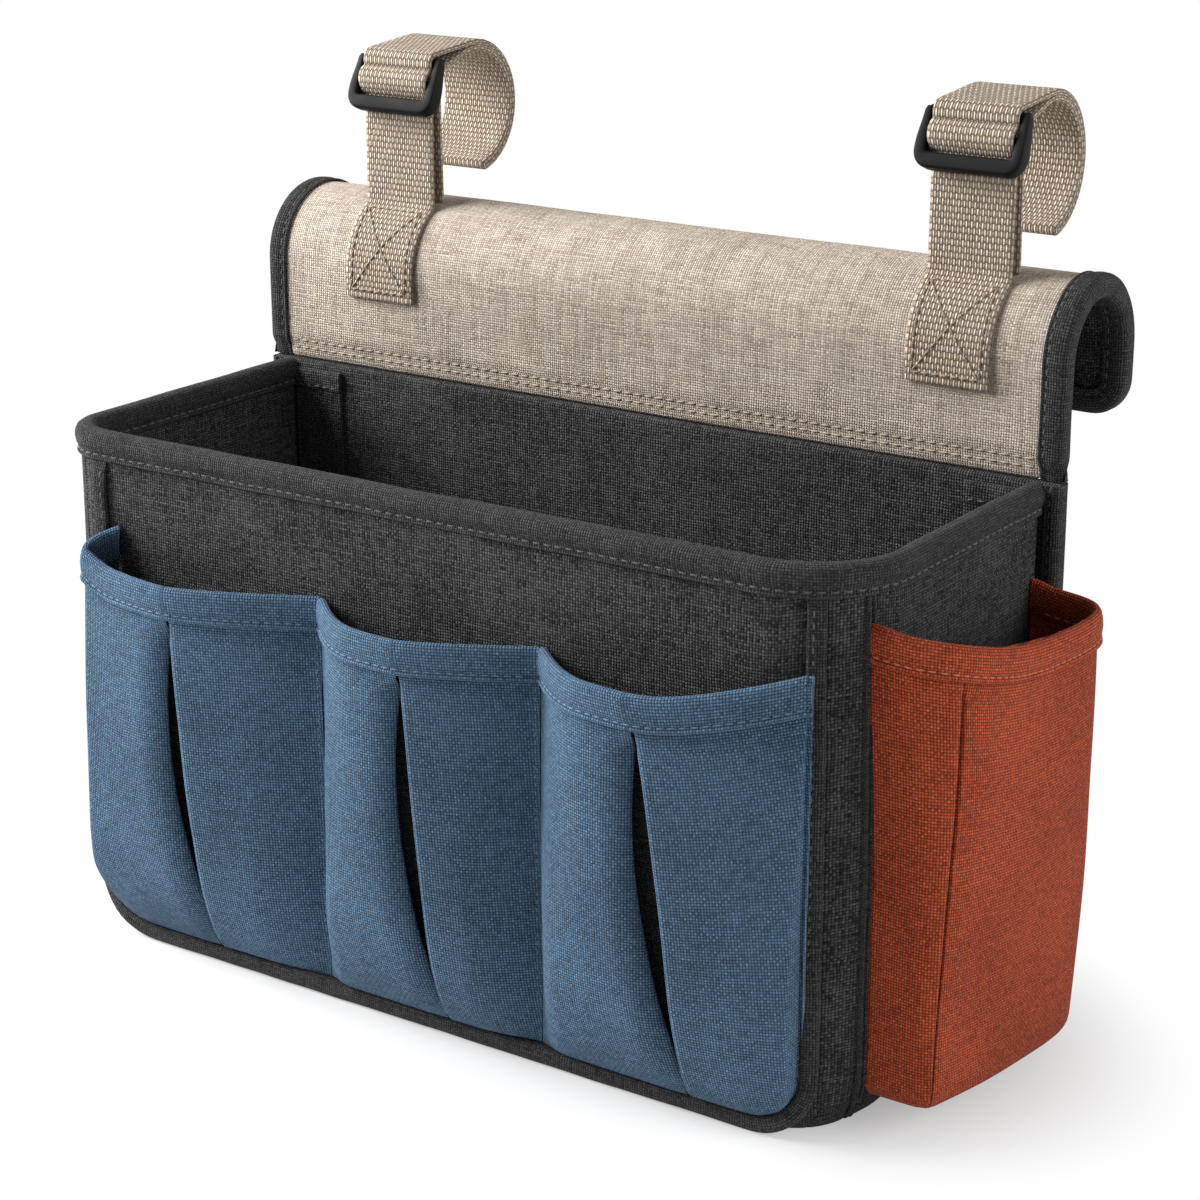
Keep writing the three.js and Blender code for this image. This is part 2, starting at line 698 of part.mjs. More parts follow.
// Side pocket seen from above, moved outward by an offset and drawn in by a share at its foot
function sidePocketRing(z, offset, drawn, depthShare) {
  const seat = cornerPoint(1, sideSeamAngle, cornerRadius)[1] + sideFrontGap + seamPipingRadius;
  const rear = backY - tapeStack - sideRearGap;
  const middle = (seat + rear) / 2;
  const half = (rear - seat) / 2;
  const outline = new THREE.Shape();
  outline.moveTo(seat, 0);
  outline.lineTo(seat, sideFrontDepth - sideFrontRound);
  outline.quadraticCurveTo(seat, sideFrontDepth, seat + sideFrontRound, sideFrontDepth + 1);
  outline.bezierCurveTo(
    middle - half / 3, sideDepth, middle + half / 3, sideDepth + 1, rear - sideRearRound, sideDepth);
  outline.bezierCurveTo(
    rear - sideFrontRound, sideDepth - 1, rear, sideDepth - sideRearFlank, rear, 0);
  const spread = 1 + (offset - drawn) / half;
  const out = (1 + (offset - drawn) / sideDepth) * depthShare;
  const points = cleaned(outline.getPoints(5));
  const at = (x, y) => new THREE.Vector3(x, y, z - (sideSlope * (y - seat)) / (rear - seat));
  const ring = points.map((p) => at(halfWidth + p.y * out, middle + (p.x - middle) * spread));
  const behind = halfWidth - wallThickness;
  ring.push(at(behind, ring[ring.length - 1].y), at(behind, ring[0].y));
  return ring;
}

function sidePocketBody(offset, low, high) {
  const rings = [];
  const climb = (z) => THREE.MathUtils.clamp((z - sideFoot) / (sideRim - sideFoot), 0, 1);
  const share = (z) => mix(sideFootShare, 1, climb(z));
  if (low < sideFoot + sideBottomRound) {
    for (let step = 0; step < roundSteps; step++) {
      const rise = sideBottomRound * (1 - Math.cos(radians((90 * step) / roundSteps)));
      rings.push(sidePocketRing(low + rise, offset, drawIn(sideBottomRound, rise), share(low + rise)));
    }
    rings.push(sidePocketRing(low + sideBottomRound, offset, 0, share(low + sideBottomRound)));
  } else {
    rings.push(sidePocketRing(low, offset, 0, share(low)));
  }
  rings.push(sidePocketRing(high, offset, 0, share(high)));
  return loft(rings);
}

function buildSidePocket() {
  const wall = planPrism(gap, -through, rimHeight, backY + through);
  const sheet = sidePocketBody(0, sideFoot, sideRim)
    .subtract(sidePocketBody(-sideSheet, sideFoot + sideSheet, sideRim + through));
  place('side_pocket', sheet.subtract(wall), materials.rust);

  const stack = gap + hemTape;
  const hemFoot = sideRim - sideHem;
  const over = sidePocketBody(stack, hemFoot, sideRim + stack)
    .subtract(sidePocketBody(-sideSheet - stack, hemFoot - through, sideRim + 2 * through));
  const under = sidePocketBody(gap, hemFoot - through, sideRim + gap)
    .subtract(sidePocketBody(-sideSheet - gap, hemFoot - 2 * through, sideRim + through));
  place('side_pocket_hem', over.subtract(under).subtract(wall), materials.rust);
}

// Side view of a strip of even thickness along a path
function ribbon(path, thickness) {
  const points = path.getPoints(8).filter((p, i, all) => i === 0 || p.distanceTo(all[i - 1]) > 1e-4);
  const sideways = points.map((p, i) => {
    const before = points[Math.max(i - 1, 0)];
    const after = points[Math.min(i + 1, points.length - 1)];
    const along = after.clone().sub(before).normalize();
    return new THREE.Vector2(-along.y, along.x).multiplyScalar(thickness / 2);
  });
  const left = points.map((p, i) => p.clone().add(sideways[i]));
  const right = points.map((p, i) => p.clone().sub(sideways[i]));
  return new THREE.Shape([...right, ...left.reverse()]);
}

// Angle on a circle of the tangent from an outside point, on the side given by sign
function tangentAngle(point, centre, radius, sign) {
  const way = point.clone().sub(centre);
  return way.angle() + sign * Math.acos(radius / way.length());
}

// Places of the buckle's bars, seen from the side
function barPoint(bottom, rise) {
  const lean = radians(buckleLean);
  return new THREE.Vector2(bottom.x + rise * Math.sin(lean), bottom.y + rise * Math.cos(lean));
}

// Outline of the hook's doubled webbing round the curl and the buckle's bar, moved inward by a depth
function hookOutline(curl, bar, depth, endAngle) {
  const plies = 2 * hookPly + hookStrip + 2 * gap;
  const outer = hookRadius - depth;
  const inner = hookRadius - plies + depth;
  const loop = barRadius + gap + hookPly - depth;
  const way = curl.clone().sub(bar);
  const upper = way.angle() + Math.acos((loop - outer) / way.length()) - 2 * Math.PI;
  const lower = way.angle() + Math.acos((-loop - inner) / way.length()) - 2 * Math.PI;
  const end = radians(endAngle);
  const path = new THREE.Path();
  path.absarc(curl.x, curl.y, outer, end, upper, false);
  path.absarc(bar.x, bar.y, loop, upper, lower + Math.PI, false);
  path.absarc(curl.x, curl.y, inner, lower, end, true);
  return path.getPoints(crownSteps);
}

function buildStrap(name, centreX) {
  const x0 = centreX - strapWidth / 2;
  const x1 = centreX + strapWidth / 2;
  const half = strapThickness / 2;

  // Sewn patch on the flap, up the crown, then free
  const lift = radians(liftAngle);
  const seat = gap + half;
  const onCrown = crownRadius + seat;
  const leave = new THREE.Vector2(crownY - onCrown * Math.cos(lift), crownZ + onCrown * Math.sin(lift));
  const bend = new THREE.Vector2(leave.x - liftBend * Math.cos(lift), leave.y + liftBend * Math.sin(lift));
  const riserY = bend.x + liftBend;
  const riser = new THREE.Path();
  riser.moveTo(backY - seat, patchFoot);
  riser.lineTo(backY - seat, crownZ);
  riser.absarc(crownY, crownZ, onCrown, Math.PI, Math.PI - lift, true);
  riser.absarc(bend.x, bend.y, liftBend, -lift, 0, false);
  riser.lineTo(riserY, buckleHeight - gap);
  place(`${name}_strap_riser`, extrudeX(ribbon(riser, strapThickness), x0, x1), materials.webbing);

  // Buckle: bottom bar and rails in one moulding, with two round bars across
  const bottom = new THREE.Vector2(riserY - half - gap - buckleDepth / 2, buckleHeight);
  const opening = strapWidth / 2 + slotClearance;
  const outside = opening + buckleRail;
  const foot = -bottomBar / 2;
  const railTop = topBarRise + barRadius;
  const frame = new THREE.Shape();
  frame.moveTo(-outside, railTop - buckleRail / 2);
  frame.lineTo(-outside, foot + buckleRound);
  frame.absarc(-outside + buckleRound, foot + buckleRound, buckleRound, Math.PI, 1.5 * Math.PI, false);
  frame.absarc(outside - buckleRound, foot + buckleRound, buckleRound, -Math.PI / 2, 0, false);
  frame.absarc(outside - buckleRail / 2, railTop - buckleRail / 2, buckleRail / 2, 0, Math.PI, false);
  frame.lineTo(opening, bottomBar / 2);
  frame.lineTo(-opening, bottomBar / 2);
  frame.absarc(-outside + buckleRail / 2, railTop - buckleRail / 2, buckleRail / 2, 0, Math.PI, false);
  const moulding = new THREE.ExtrudeGeometry(new THREE.Shape(cleaned(frame.getPoints(5))), {
    depth: buckleDepth - 2 * buckleBevel, steps: 1, bevelEnabled: true, bevelSegments: 1,
    bevelThickness: buckleBevel, bevelSize: buckleBevel, bevelOffset: -buckleBevel,
  });
  moulding.applyMatrix4(new THREE.Matrix4().makeBasis(...alongY));
  moulding.translate(0, buckleDepth / 2 - buckleBevel, 0);
  let buckle = toBody(moulding);
  for (const rise of [centreBarRise, topBarRise]) {
    const bar = new THREE.CylinderGeometry(barRadius, barRadius, 2 * opening + buckleRail, 12);
    bar.rotateZ(Math.PI / 2);
    bar.translate(0, 0, rise);
    buckle = buckle.add(toBody(bar));
  }
  const buckleMesh = place(`${name}_buckle`, buckle, materials.buckle);
  buckleMesh.position.set(centreX, bottom.x, bottom.y);
  buckleMesh.rotation.x = -radians(buckleLean);

  // Webbing from the riser over the centre bar and down behind as a free tail
  const centreBar = barPoint(bottom, centreBarRise);
  const topBar = barPoint(bottom, topBarRise);
  const wrap = barRadius + gap + half;
  const start = new THREE.Vector2(riserY, buckleHeight);
  const tailY = crownY - tailPlace;
  const tailFoot = crownZ + Math.sqrt(crownRadius ** 2 - (tailPlace - half) ** 2) + gap;
  const end = new THREE.Vector2(tailY, tailFoot);
  const tail = new THREE.Path();
  tail.moveTo(start.x, start.y);
  tail.absarc(
    centreBar.x, centreBar.y, wrap,
    tangentAngle(start, centreBar, wrap, -1), tangentAngle(end, centreBar, wrap, 1) - 2 * Math.PI, true);
  tail.lineTo(end.x, end.y);
  place(`${name}_strap_tail`, extrudeX(ribbon(tail, strapThickness), x0, x1), materials.webbing);

  // Hook of doubled webbing round the top bar, with a formed strip inside that keeps its curl
  const curl = new THREE.Vector2(topBar.x + hookReach, topBar.y - hookDrop);
  const hook = new THREE.Shape(hookOutline(curl, topBar, 0, hookEnd));
  hook.holes.push(new THREE.Path(hookOutline(curl, topBar, hookPly, hookEnd + hookHem).reverse()));
  place(`${name}_hook`, extrudeX(hook, x0, x1), materials.webbing);
  const strip = new THREE.Shape();
  const stripFrom = radians(hookEnd + hookHem + formerStart);
  const stripRadius = hookRadius - hookPly - gap;
  strip.absarc(curl.x, curl.y, stripRadius, stripFrom, Math.PI / 2, false);
  strip.absarc(curl.x, curl.y, stripRadius - hookStrip, Math.PI / 2, stripFrom, true);
  place(`${name}_hook_former`, extrudeX(strip, x0 + 2 * gap, x1 - 2 * gap), materials.board);
}

buildBox();
buildFrontPiping();
buildBackPanel();
buildFlap();
buildFrontPockets();
buildSidePocket();
buildStrap('left', strapInsets.left - halfWidth);
buildStrap('right', halfWidth - strapInsets.right);

export default caddy;
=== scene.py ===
import bisect
import math

import bmesh
import bpy
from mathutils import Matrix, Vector, noise


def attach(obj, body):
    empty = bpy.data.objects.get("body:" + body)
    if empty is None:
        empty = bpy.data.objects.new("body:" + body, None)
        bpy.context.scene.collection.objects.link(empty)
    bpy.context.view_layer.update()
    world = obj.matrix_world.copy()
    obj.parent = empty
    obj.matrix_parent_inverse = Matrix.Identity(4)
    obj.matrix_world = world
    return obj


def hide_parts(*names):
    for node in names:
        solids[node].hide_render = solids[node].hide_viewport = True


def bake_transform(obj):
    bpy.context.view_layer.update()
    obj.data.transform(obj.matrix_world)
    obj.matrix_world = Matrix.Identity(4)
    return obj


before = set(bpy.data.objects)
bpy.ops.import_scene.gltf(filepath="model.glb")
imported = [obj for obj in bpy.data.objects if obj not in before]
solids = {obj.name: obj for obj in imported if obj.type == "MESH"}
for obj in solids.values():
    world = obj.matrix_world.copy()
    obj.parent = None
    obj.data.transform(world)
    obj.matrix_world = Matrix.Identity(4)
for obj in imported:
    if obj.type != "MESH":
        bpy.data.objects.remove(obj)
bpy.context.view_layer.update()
scene = bpy.context.scene
mm = 0.001
noise.seed_set(31)  # the same unevenness each run
print("frame loaded:", len(solids), "solids")


# Small helpers for numbers and curves

def mix(a, b, share):
    return a + (b - a) * share


def clamp(value, low=0.0, high=1.0):
    return max(low, min(high, value))


def ease(share):
    share = clamp(share)
    return share * share * (3 - 2 * share)


def ramp(start, end, count):
    return [mix(start, end, i / count) for i in range(count + 1)]


def drawIn(radius, height):  # how far a rounded edge stands back at a height above its foot
    if height >= radius:
        return 0.0
    return radius - math.sqrt(radius ** 2 - (radius - max(height, 0.0)) ** 2)


def arc(centre, radius, start, end, count):
    turns = [math.radians(a) for a in ramp(start, end, count)]
    return [(centre[0] + radius * math.cos(t), centre[1] + radius * math.sin(t)) for t in turns]


def bezierAt(points, t):
    line = [Vector(p) for p in points]
    while len(line) > 1:
        line = [a.lerp(b, t) for a, b in zip(line, line[1:])]
    return tuple(line[0])


def bezier(points, count):
    return [bezierAt(points, t) for t in ramp(0, 1, count)]


def lengths(points):
    found = [0.0]
    for a, b in zip(points, points[1:]):
        found.append(found[-1] + (Vector(b) - Vector(a)).length)
    return found


def sideways(points):  # unit normals of an open line in a plane, to its left
    found = []
    for i in range(len(points)):
        a = points[max(i - 1, 0)]
        b = points[min(i + 1, len(points) - 1)]
        run = Vector((b[0] - a[0], b[1] - a[1])).normalized()
        found.append((-run.y, run.x))
    return found


# Mesh making

anchorRun = 200  # where the weave's run starts again at an anchor column


def addLoft(bm, rings, closed=False, anchor=None):  # the weave keeps still at the anchor column
    cloth = bm.loops.layers.uv.verify()
    count = len(rings[0])
    made = [[bm.verts.new(Vector(p) * mm) for p in ring] for ring in rings]
    rounds = [lengths(list(ring) + [ring[0]]) for ring in rings]
    if anchor:
        rounds = [
            found[:anchor] + [u - found[anchor] + anchorRun for u in found[anchor:]] for found in rounds]
    middles = [sum((Vector(p) for p in ring), Vector()) / count for ring in rings]
    runs = lengths(middles + middles[:1])
    rows = len(rings) if closed else len(rings) - 1
    for row in range(rows):
        after = (row + 1) % len(rings)
        for i in range(count):
            j = (i + 1) % count
            face = bm.faces.new((made[row][i], made[row][j], made[after][j], made[after][i]))
            spots = (
                (rounds[row][i], runs[row]), (rounds[row][i + 1], runs[row]),
                (rounds[after][i + 1], runs[row + 1]), (rounds[after][i], runs[row + 1]),
            )
            for loop, (u, v) in zip(face.loops, spots):
                loop[cloth].uv = (u * mm, v * mm)
    if not closed:
        for ring in (made[0], made[-1]):
            face = bm.faces.new(ring)
            spans = [max(v.co[k] for v in ring) - min(v.co[k] for v in ring) for k in range(3)]
            flat = sorted(range(3), key=lambda k: -spans[k])[:2]
            for loop in face.loops:
                loop[cloth].uv = (loop.vert.co[flat[0]], loop.vert.co[flat[1]])


def makePiece(name, bm, material, body, stands=(), crease=50):
    bmesh.ops.recalc_face_normals(bm, faces=bm.faces[:])
    mesh = bpy.data.meshes.new(name)
    bm.to_mesh(mesh)
    bm.free()
    mesh.polygons.foreach_set("use_smooth", [True] * len(mesh.polygons))
    mesh.set_sharp_from_angle(angle=math.radians(crease))
    mesh.materials.append(material)
    piece = bpy.data.objects.new(name, mesh)
    scene.collection.objects.link(piece)
    if body:
        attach(piece, body)
    if stands:
        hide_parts(*stands)
    return piece


def loftPiece(name, rings, material, body, stands=(), closed=False, crease=50, anchor=None):
    bm = bmesh.new()
    addLoft(bm, rings, closed, anchor=anchor)
    return makePiece(name, bm, material, body, stands, crease)


def crumpleShift(seed):
    return Vector((seed, 1.7 * seed, -seed))


def rumple(piece, size, amount, seed):  # soft unevenness that moves both faces of a cloth together
    shift = crumpleShift(seed)
    for vertex in piece.data.vertices:
        vertex.co += noise.noise_vector(vertex.co / (size * mm) + shift) * amount * mm


def rumpled(point, size, amount, seed):  # a point that lies on such a cloth
    return point + noise.noise_vector(point / size + crumpleShift(seed)) * amount


def tubeRings(points, radius, aside, sides=12):
    rings = []
    for i, point in enumerate(points):
        a = Vector(points[max(i - 1, 0)])
        b = Vector(points[min(i + 1, len(points) - 1)])
        across = (b - a).normalized().cross(Vector(aside)).normalized()
        up = Vector(aside)
        turns = [2 * math.pi * k / sides for k in range(sides)]
        rings.append([
            tuple(Vector(point) + radius * (across * math.cos(t) + up * math.sin(t))) for t in turns
        ])
    return rings


def pathAt(points, runs, run):
    i = clamp(bisect.bisect_right(runs, run) - 1, 0, len(points) - 2)
    share = (run - runs[i]) / max(runs[i + 1] - runs[i], 1e-6)
    return Vector(points[i]).lerp(Vector(points[i + 1]), share)


thread = dict(sides=6, shares=(0.0, 0.12, 0.35, 0.65, 0.88, 1.0), peek=0.2, slim=0.5, arch=1.5, sink=1.1)


def sewRow(name, rows, material, body, look):
    bm = bmesh.new()
    turns = [2 * math.pi * k / thread["sides"] for k in range(thread["sides"])]
    peek = thread["peek"]
    for points, normals in rows:
        runs = lengths(points)
        count = max(int(runs[-1] / look["pitch"]), 1)
        pitch = runs[-1] / count
        for k in range(count):
            rings = []
            for share in thread["shares"]:
                run = (k + 0.5) * pitch + (share - 0.5) * look["length"]
                middle = pathAt(points, runs, run)
                out = pathAt(normals, runs, run).normalized()
                ahead = (pathAt(points, runs, run + peek) - pathAt(points, runs, run - peek)).normalized()
                aside = out.cross(ahead)
                full = math.sin(math.pi * clamp(share, 0.06, 0.94)) ** 0.5
                thick = look["radius"] * mix(thread["slim"], 1.0, full)
                lift = look["radius"] * (thread["arch"] * full - thread["sink"])
                rings.append([
                    tuple(middle + out * (lift + thick * math.cos(t)) + aside * thick * math.sin(t))
                    for t in turns
                ])
            addLoft(bm, rings)
    makePiece(name, bm, material, body, crease=80)


# Shader groups, each built once and placed in the materials with its own values

def addNode(tree, kind, **settings):
    node = tree.nodes.new(kind)
    for label, value in settings.items():
        setattr(node, label, value)
    return node


def feed(tree, socket, value):
    if isinstance(value, bpy.types.NodeSocket):
        tree.links.new(value, socket)
    else:
        socket.default_value = value


def calc(tree, operation, *values):
    node = addNode(tree, "ShaderNodeMath", operation=operation)
    for socket, value in zip(node.inputs, values):
        feed(tree, socket, value)
    return node.outputs[0]


def vectorCalc(tree, operation, *values):
    node = addNode(tree, "ShaderNodeVectorMath", operation=operation)
    for socket, value in zip(node.inputs, values):
        feed(tree, socket, value)
    return node.outputs[0]


def stretched(tree, value, low, high, toLow=0.0, toHigh=1.0):
    node = addNode(tree, "ShaderNodeMapRange")
    for label, number in (
        ("Value", value), ("From Min", low), ("From Max", high), ("To Min", toLow), ("To Max", toHigh),
    ):
        feed(tree, node.inputs[label], number)
    return node.outputs[0]


def mixColour(tree, share, first, second, kind="MIX"):
    node = addNode(tree, "ShaderNodeMix", data_type="RGBA", blend_type=kind)
    for socket, value in ((node.inputs[0], share), (node.inputs[6], first), (node.inputs[7], second)):
        feed(tree, socket, value)
    return node.outputs[2]


def speckle(tree, place, scale, detail=2.0):
    node = addNode(tree, "ShaderNodeTexNoise")
    feed(tree, node.inputs["Vector"], place)
    node.inputs["Scale"].default_value = scale
    node.inputs["Detail"].default_value = detail
    return node


def openGroup(name, takes, gives):
    tree = bpy.data.node_groups.new(name, "ShaderNodeTree")
    for label, kind, value in takes:
        socket = tree.interface.new_socket(label, in_out="INPUT", socket_type="NodeSocket" + kind)
        if value is not None:
            socket.default_value = value
    for label, kind in gives:
        tree.interface.new_socket(label, in_out="OUTPUT", socket_type="NodeSocket" + kind)
    return tree, addNode(tree, "NodeGroupInput").outputs, addNode(tree, "NodeGroupOutput").inputs


def buildWeave():
    # Threads over and under each other: their height, and a tone that runs along each thread
    tree, takes, gives = openGroup(
        "clothWeave",
        (
            ("Cloth", "Vector", None), ("Warp Pitch", "Float", 1.0), ("Weft Pitch", "Float", 1.0),
            ("Weft Share", "Float", 1.0), ("Wobble", "Float", 0.2), ("Slub", "Float", 0.06),
            ("Grain", "Float", 0.3),
        ),
        (("Height", "Float"), ("Tone", "Float")),
    )
    inMm = addNode(tree, "ShaderNodeVectorMath", operation="SCALE")
    feed(tree, inMm.inputs[0], takes["Cloth"])
    inMm.inputs["Scale"].default_value = 1000
    wander = speckle(tree, inMm.outputs[0], 0.13, 3.0).outputs["Color"]
    centred = vectorCalc(tree, "SUBTRACT", wander, (0.5, 0.5, 0.5))
    drift = addNode(tree, "ShaderNodeVectorMath", operation="SCALE")
    feed(tree, drift.inputs[0], centred)
    feed(tree, drift.inputs["Scale"], takes["Wobble"])
    placed = addNode(tree, "ShaderNodeSeparateXYZ")
    feed(tree, placed.inputs[0], vectorCalc(tree, "ADD", inMm.outputs[0], drift.outputs[0]))
    warp = calc(tree, "DIVIDE", placed.outputs[0], takes["Warp Pitch"])
    weft = calc(tree, "DIVIDE", placed.outputs[1], takes["Weft Pitch"])
    warpRow = calc(tree, "FLOOR", warp)
    weftRow = calc(tree, "FLOOR", weft)
    warpArch = calc(tree, "SINE", calc(tree, "MULTIPLY", calc(tree, "FRACT", warp), math.pi))
    weftArch = calc(tree, "SINE", calc(tree, "MULTIPLY", calc(tree, "FRACT", weft), math.pi))
    step = calc(tree, "FRACT", calc(tree, "DIVIDE", calc(tree, "ADD", warpRow, weftRow), 2.0))
    warpOver = calc(tree, "LESS_THAN", step, 0.25)
    warpHeight = calc(tree, "MULTIPLY", warpArch, calc(tree, "MULTIPLY_ADD", weftArch, 0.6, 0.4))
    weftHeight = calc(tree, "MULTIPLY", weftArch, calc(tree, "MULTIPLY_ADD", warpArch, 0.6, 0.4))
    weftHeight = calc(tree, "MULTIPLY", weftHeight, takes["Weft Share"])
    tones = []
    for row, along, order in ((warpRow, weft, 3.1), (weftRow, warp, 11.7)):
        spot = addNode(tree, "ShaderNodeCombineXYZ")
        feed(tree, spot.inputs[0], calc(tree, "MULTIPLY", row, 0.73))
        feed(tree, spot.inputs[1], calc(tree, "MULTIPLY", along, takes["Slub"]))
        spot.inputs[2].default_value = order
        tones.append(stretched(tree, speckle(tree, spot.outputs[0], 1.0).outputs[0], 0.28, 0.72))
    crossing = addNode(tree, "ShaderNodeCombineXYZ")
    feed(tree, crossing.inputs[0], warpRow)
    feed(tree, crossing.inputs[1], weftRow)
    lint = addNode(tree, "ShaderNodeTexWhiteNoise", noise_dimensions="2D")
    feed(tree, lint.inputs["Vector"], crossing.outputs[0])
    grain = calc(tree, "MULTIPLY", calc(tree, "SUBTRACT", lint.outputs["Value"], 0.5), takes["Grain"])
    tone = calc(tree, "MULTIPLY_ADD", calc(tree, "SUBTRACT", tones[0], tones[1]), warpOver, tones[1])
    rise = calc(tree, "MULTIPLY_ADD", calc(tree, "SUBTRACT", warpHeight, weftHeight), warpOver, weftHeight)
    feed(tree, gives["Tone"], calc(tree, "ADD", tone, grain))
    feed(tree, gives["Height"], rise)
    return tree


def buildMottle():
    # Slow light and dark patches over a cloth
    tree, takes, gives = openGroup(
        "clothMottle", (("Cloth", "Vector", None), ("Patches", "Float", 40.0)), (("Mask", "Float"),))
    node = speckle(tree, takes["Cloth"], 40.0, 3.0)
    feed(tree, node.inputs["Scale"], takes["Patches"])
    feed(tree, gives["Mask"], stretched(tree, node.outputs[0], 0.3, 0.7))
    return tree


def buildEdgeHighlight():
    # Painted highlight: lighter cloth on outward folds
    tree, takes, gives = openGroup("edgeHighlight", (("Amount", "Float", 0.3),), (("Mask", "Float"),))
    bend = addNode(tree, "ShaderNodeNewGeometry").outputs["Pointiness"]
    feed(tree, gives["Mask"], calc(tree, "MULTIPLY", stretched(tree, bend, 0.51, 0.58), takes["Amount"]))
    return tree


def buildTwist():
    # Plies of a sewing thread
    tree, takes, gives = openGroup(
        "threadTwist", (("Cloth", "Vector", None), ("Turn", "Float", 9000.0)),
        (("Height", "Float"), ("Tone", "Float")))
    parts = addNode(tree, "ShaderNodeSeparateXYZ")
    feed(tree, parts.inputs[0], takes["Cloth"])
    lean = calc(tree, "ADD", parts.outputs[0], parts.outputs[1])
    wave = calc(tree, "SINE", calc(tree, "MULTIPLY", lean, takes["Turn"]))
    feed(tree, gives["Height"], calc(tree, "MULTIPLY_ADD", wave, 0.5, 0.5))
    feed(tree, gives["Tone"], speckle(tree, takes["Cloth"], 700.0).outputs[0])
    return tree


groups = dict(weave=buildWeave(), mottle=buildMottle(), fade=buildEdgeHighlight(), twist=buildTwist())


def place(tree, group, **values):
    node = addNode(tree, "ShaderNodeGroup", node_tree=groups[group])
    for label, value in values.items():
        feed(tree, node.inputs[label], value)
    return node.outputs


def openMaterial(name):
    material = bpy.data.materials.new(name)
    material.use_nodes = True
    tree = material.node_tree
    return material, tree, tree.nodes["Principled BSDF"].inputs


def bumpFrom(tree, shader, height, depth):
    node = addNode(tree, "ShaderNodeBump")
    node.inputs["Distance"].default_value = depth * mm
    node.inputs["Strength"].default_value = 1.0
    feed(tree, node.inputs["Height"], height)
    feed(tree, shader["Normal"], node.outputs[0])


clothGloss = dict(sheenRough=0.6, gleam=0.2)


def clothMaterial(name, look):
    material, tree, shader = openMaterial(name)
    cloth = addNode(tree, "ShaderNodeTexCoord").outputs["UV"]
    pitch = look["pitch"]
    weave = place(tree, "weave", **{
        "Cloth": cloth, "Warp Pitch": pitch[0], "Weft Pitch": pitch[1], "Weft Share": look["weft"],
        "Wobble": look["wobble"], "Slub": look["slub"], "Grain": look["grain"]})
    mottle = place(tree, "mottle", Cloth=cloth, Patches=look["patches"])["Mask"]
    tone = calc(tree, "MULTIPLY_ADD", calc(tree, "SUBTRACT", mottle, 0.5), look["mottle"], weave["Tone"])
    colour = mixColour(tree, tone, look["dark"], look["light"])
    # painted shade: the colour darkens where the weave is low, in the gaps between threads
    gapShade = stretched(tree, weave["Height"], 0.0, 0.8, 1 - look["gapShade"], 1.0)
    colour = mixColour(tree, 1.0, colour, gapShade, "MULTIPLY")
    # painted highlight: outward folds turn towards a lighter colour
    foldHighlightMask = place(tree, "fade", Amount=look["fade"])["Mask"]
    feed(tree, shader["Base Color"], mixColour(tree, foldHighlightMask, colour, look["foldHighlight"]))
    feed(tree, shader["Roughness"], stretched(tree, weave["Height"], 0.0, 1.0, 1.0, look["rough"]))
    shader["Sheen Weight"].default_value = look["sheen"]
    shader["Sheen Roughness"].default_value = clothGloss["sheenRough"]
    shader["Specular IOR Level"].default_value = clothGloss["gleam"]
    bumpFrom(tree, shader, weave["Height"], look["bump"])
    return material


threadLook = dict(groove=0.85, ply=0.6, bump=0.08)


def threadMaterial(name, dark, light):
    material, tree, shader = openMaterial(name)
    cloth = addNode(tree, "ShaderNodeTexCoord").outputs["UV"]
    twist = place(tree, "twist", Cloth=cloth)
    feed(tree, shader["Base Color"], mixColour(tree, twist["Tone"], dark, light))
    rough = stretched(tree, twist["Height"], 0.0, 1.0, threadLook["groove"], threadLook["ply"])
    feed(tree, shader["Roughness"], rough)
    bumpFrom(tree, shader, twist["Height"], threadLook["bump"])
    return material


# Each look sets how strong the painted shade between threads is, and the colour and amount of a painted
# highlight on outward folds
charcoalLook = dict(
    dark=(0.011, 0.011, 0.0115, 1), light=(0.122, 0.121, 0.12, 1), foldHighlight=(0.11, 0.11, 0.11, 1),
    pitch=(1.05, 1.05), weft=0.9, wobble=1.3, slub=0.1, grain=0.6, patches=30.0, mottle=0.25, gapShade=0.92,
    fade=0.2, rough=0.85, sheen=0.03, bump=0.5)
tapeLook = dict(
    charcoalLook, dark=(0.016, 0.016, 0.017, 1), light=(0.092, 0.092, 0.093, 1), pitch=(0.95, 0.95))
linenLook = dict(
    dark=(0.42, 0.342, 0.274, 1), light=(0.91, 0.785, 0.66, 1), foldHighlight=(0.8, 0.7, 0.59, 1),
    pitch=(0.95, 0.95), weft=0.95, wobble=1.0, slub=0.07, grain=0.3, patches=24.0, mottle=0.2, gapShade=0.52,
    fade=0.1, rough=0.85, sheen=0.03, bump=0.28)
webbingLook = dict(
    dark=(0.72, 0.56, 0.415, 1), light=(0.96, 0.81, 0.65, 1), foldHighlight=(0.8, 0.66, 0.52, 1),
    pitch=(1.02, 2.25), weft=0.34, wobble=0.25, slub=0.2, grain=0.25, patches=60.0, mottle=0.2, gapShade=0.88,
    fade=0.1, rough=0.7, sheen=0.03, bump=0.8)
blueLook = dict(
    dark=(0.074, 0.144, 0.235, 1), light=(0.155, 0.29, 0.46, 1), foldHighlight=(0.14, 0.24, 0.36, 1),
    pitch=(1.0, 1.0), weft=0.7, wobble=0.35, slub=0.25, grain=0.5, patches=22.0, mottle=0.5, gapShade=0.92,
    fade=0.2, rough=0.82, sheen=0.04, bump=0.44)
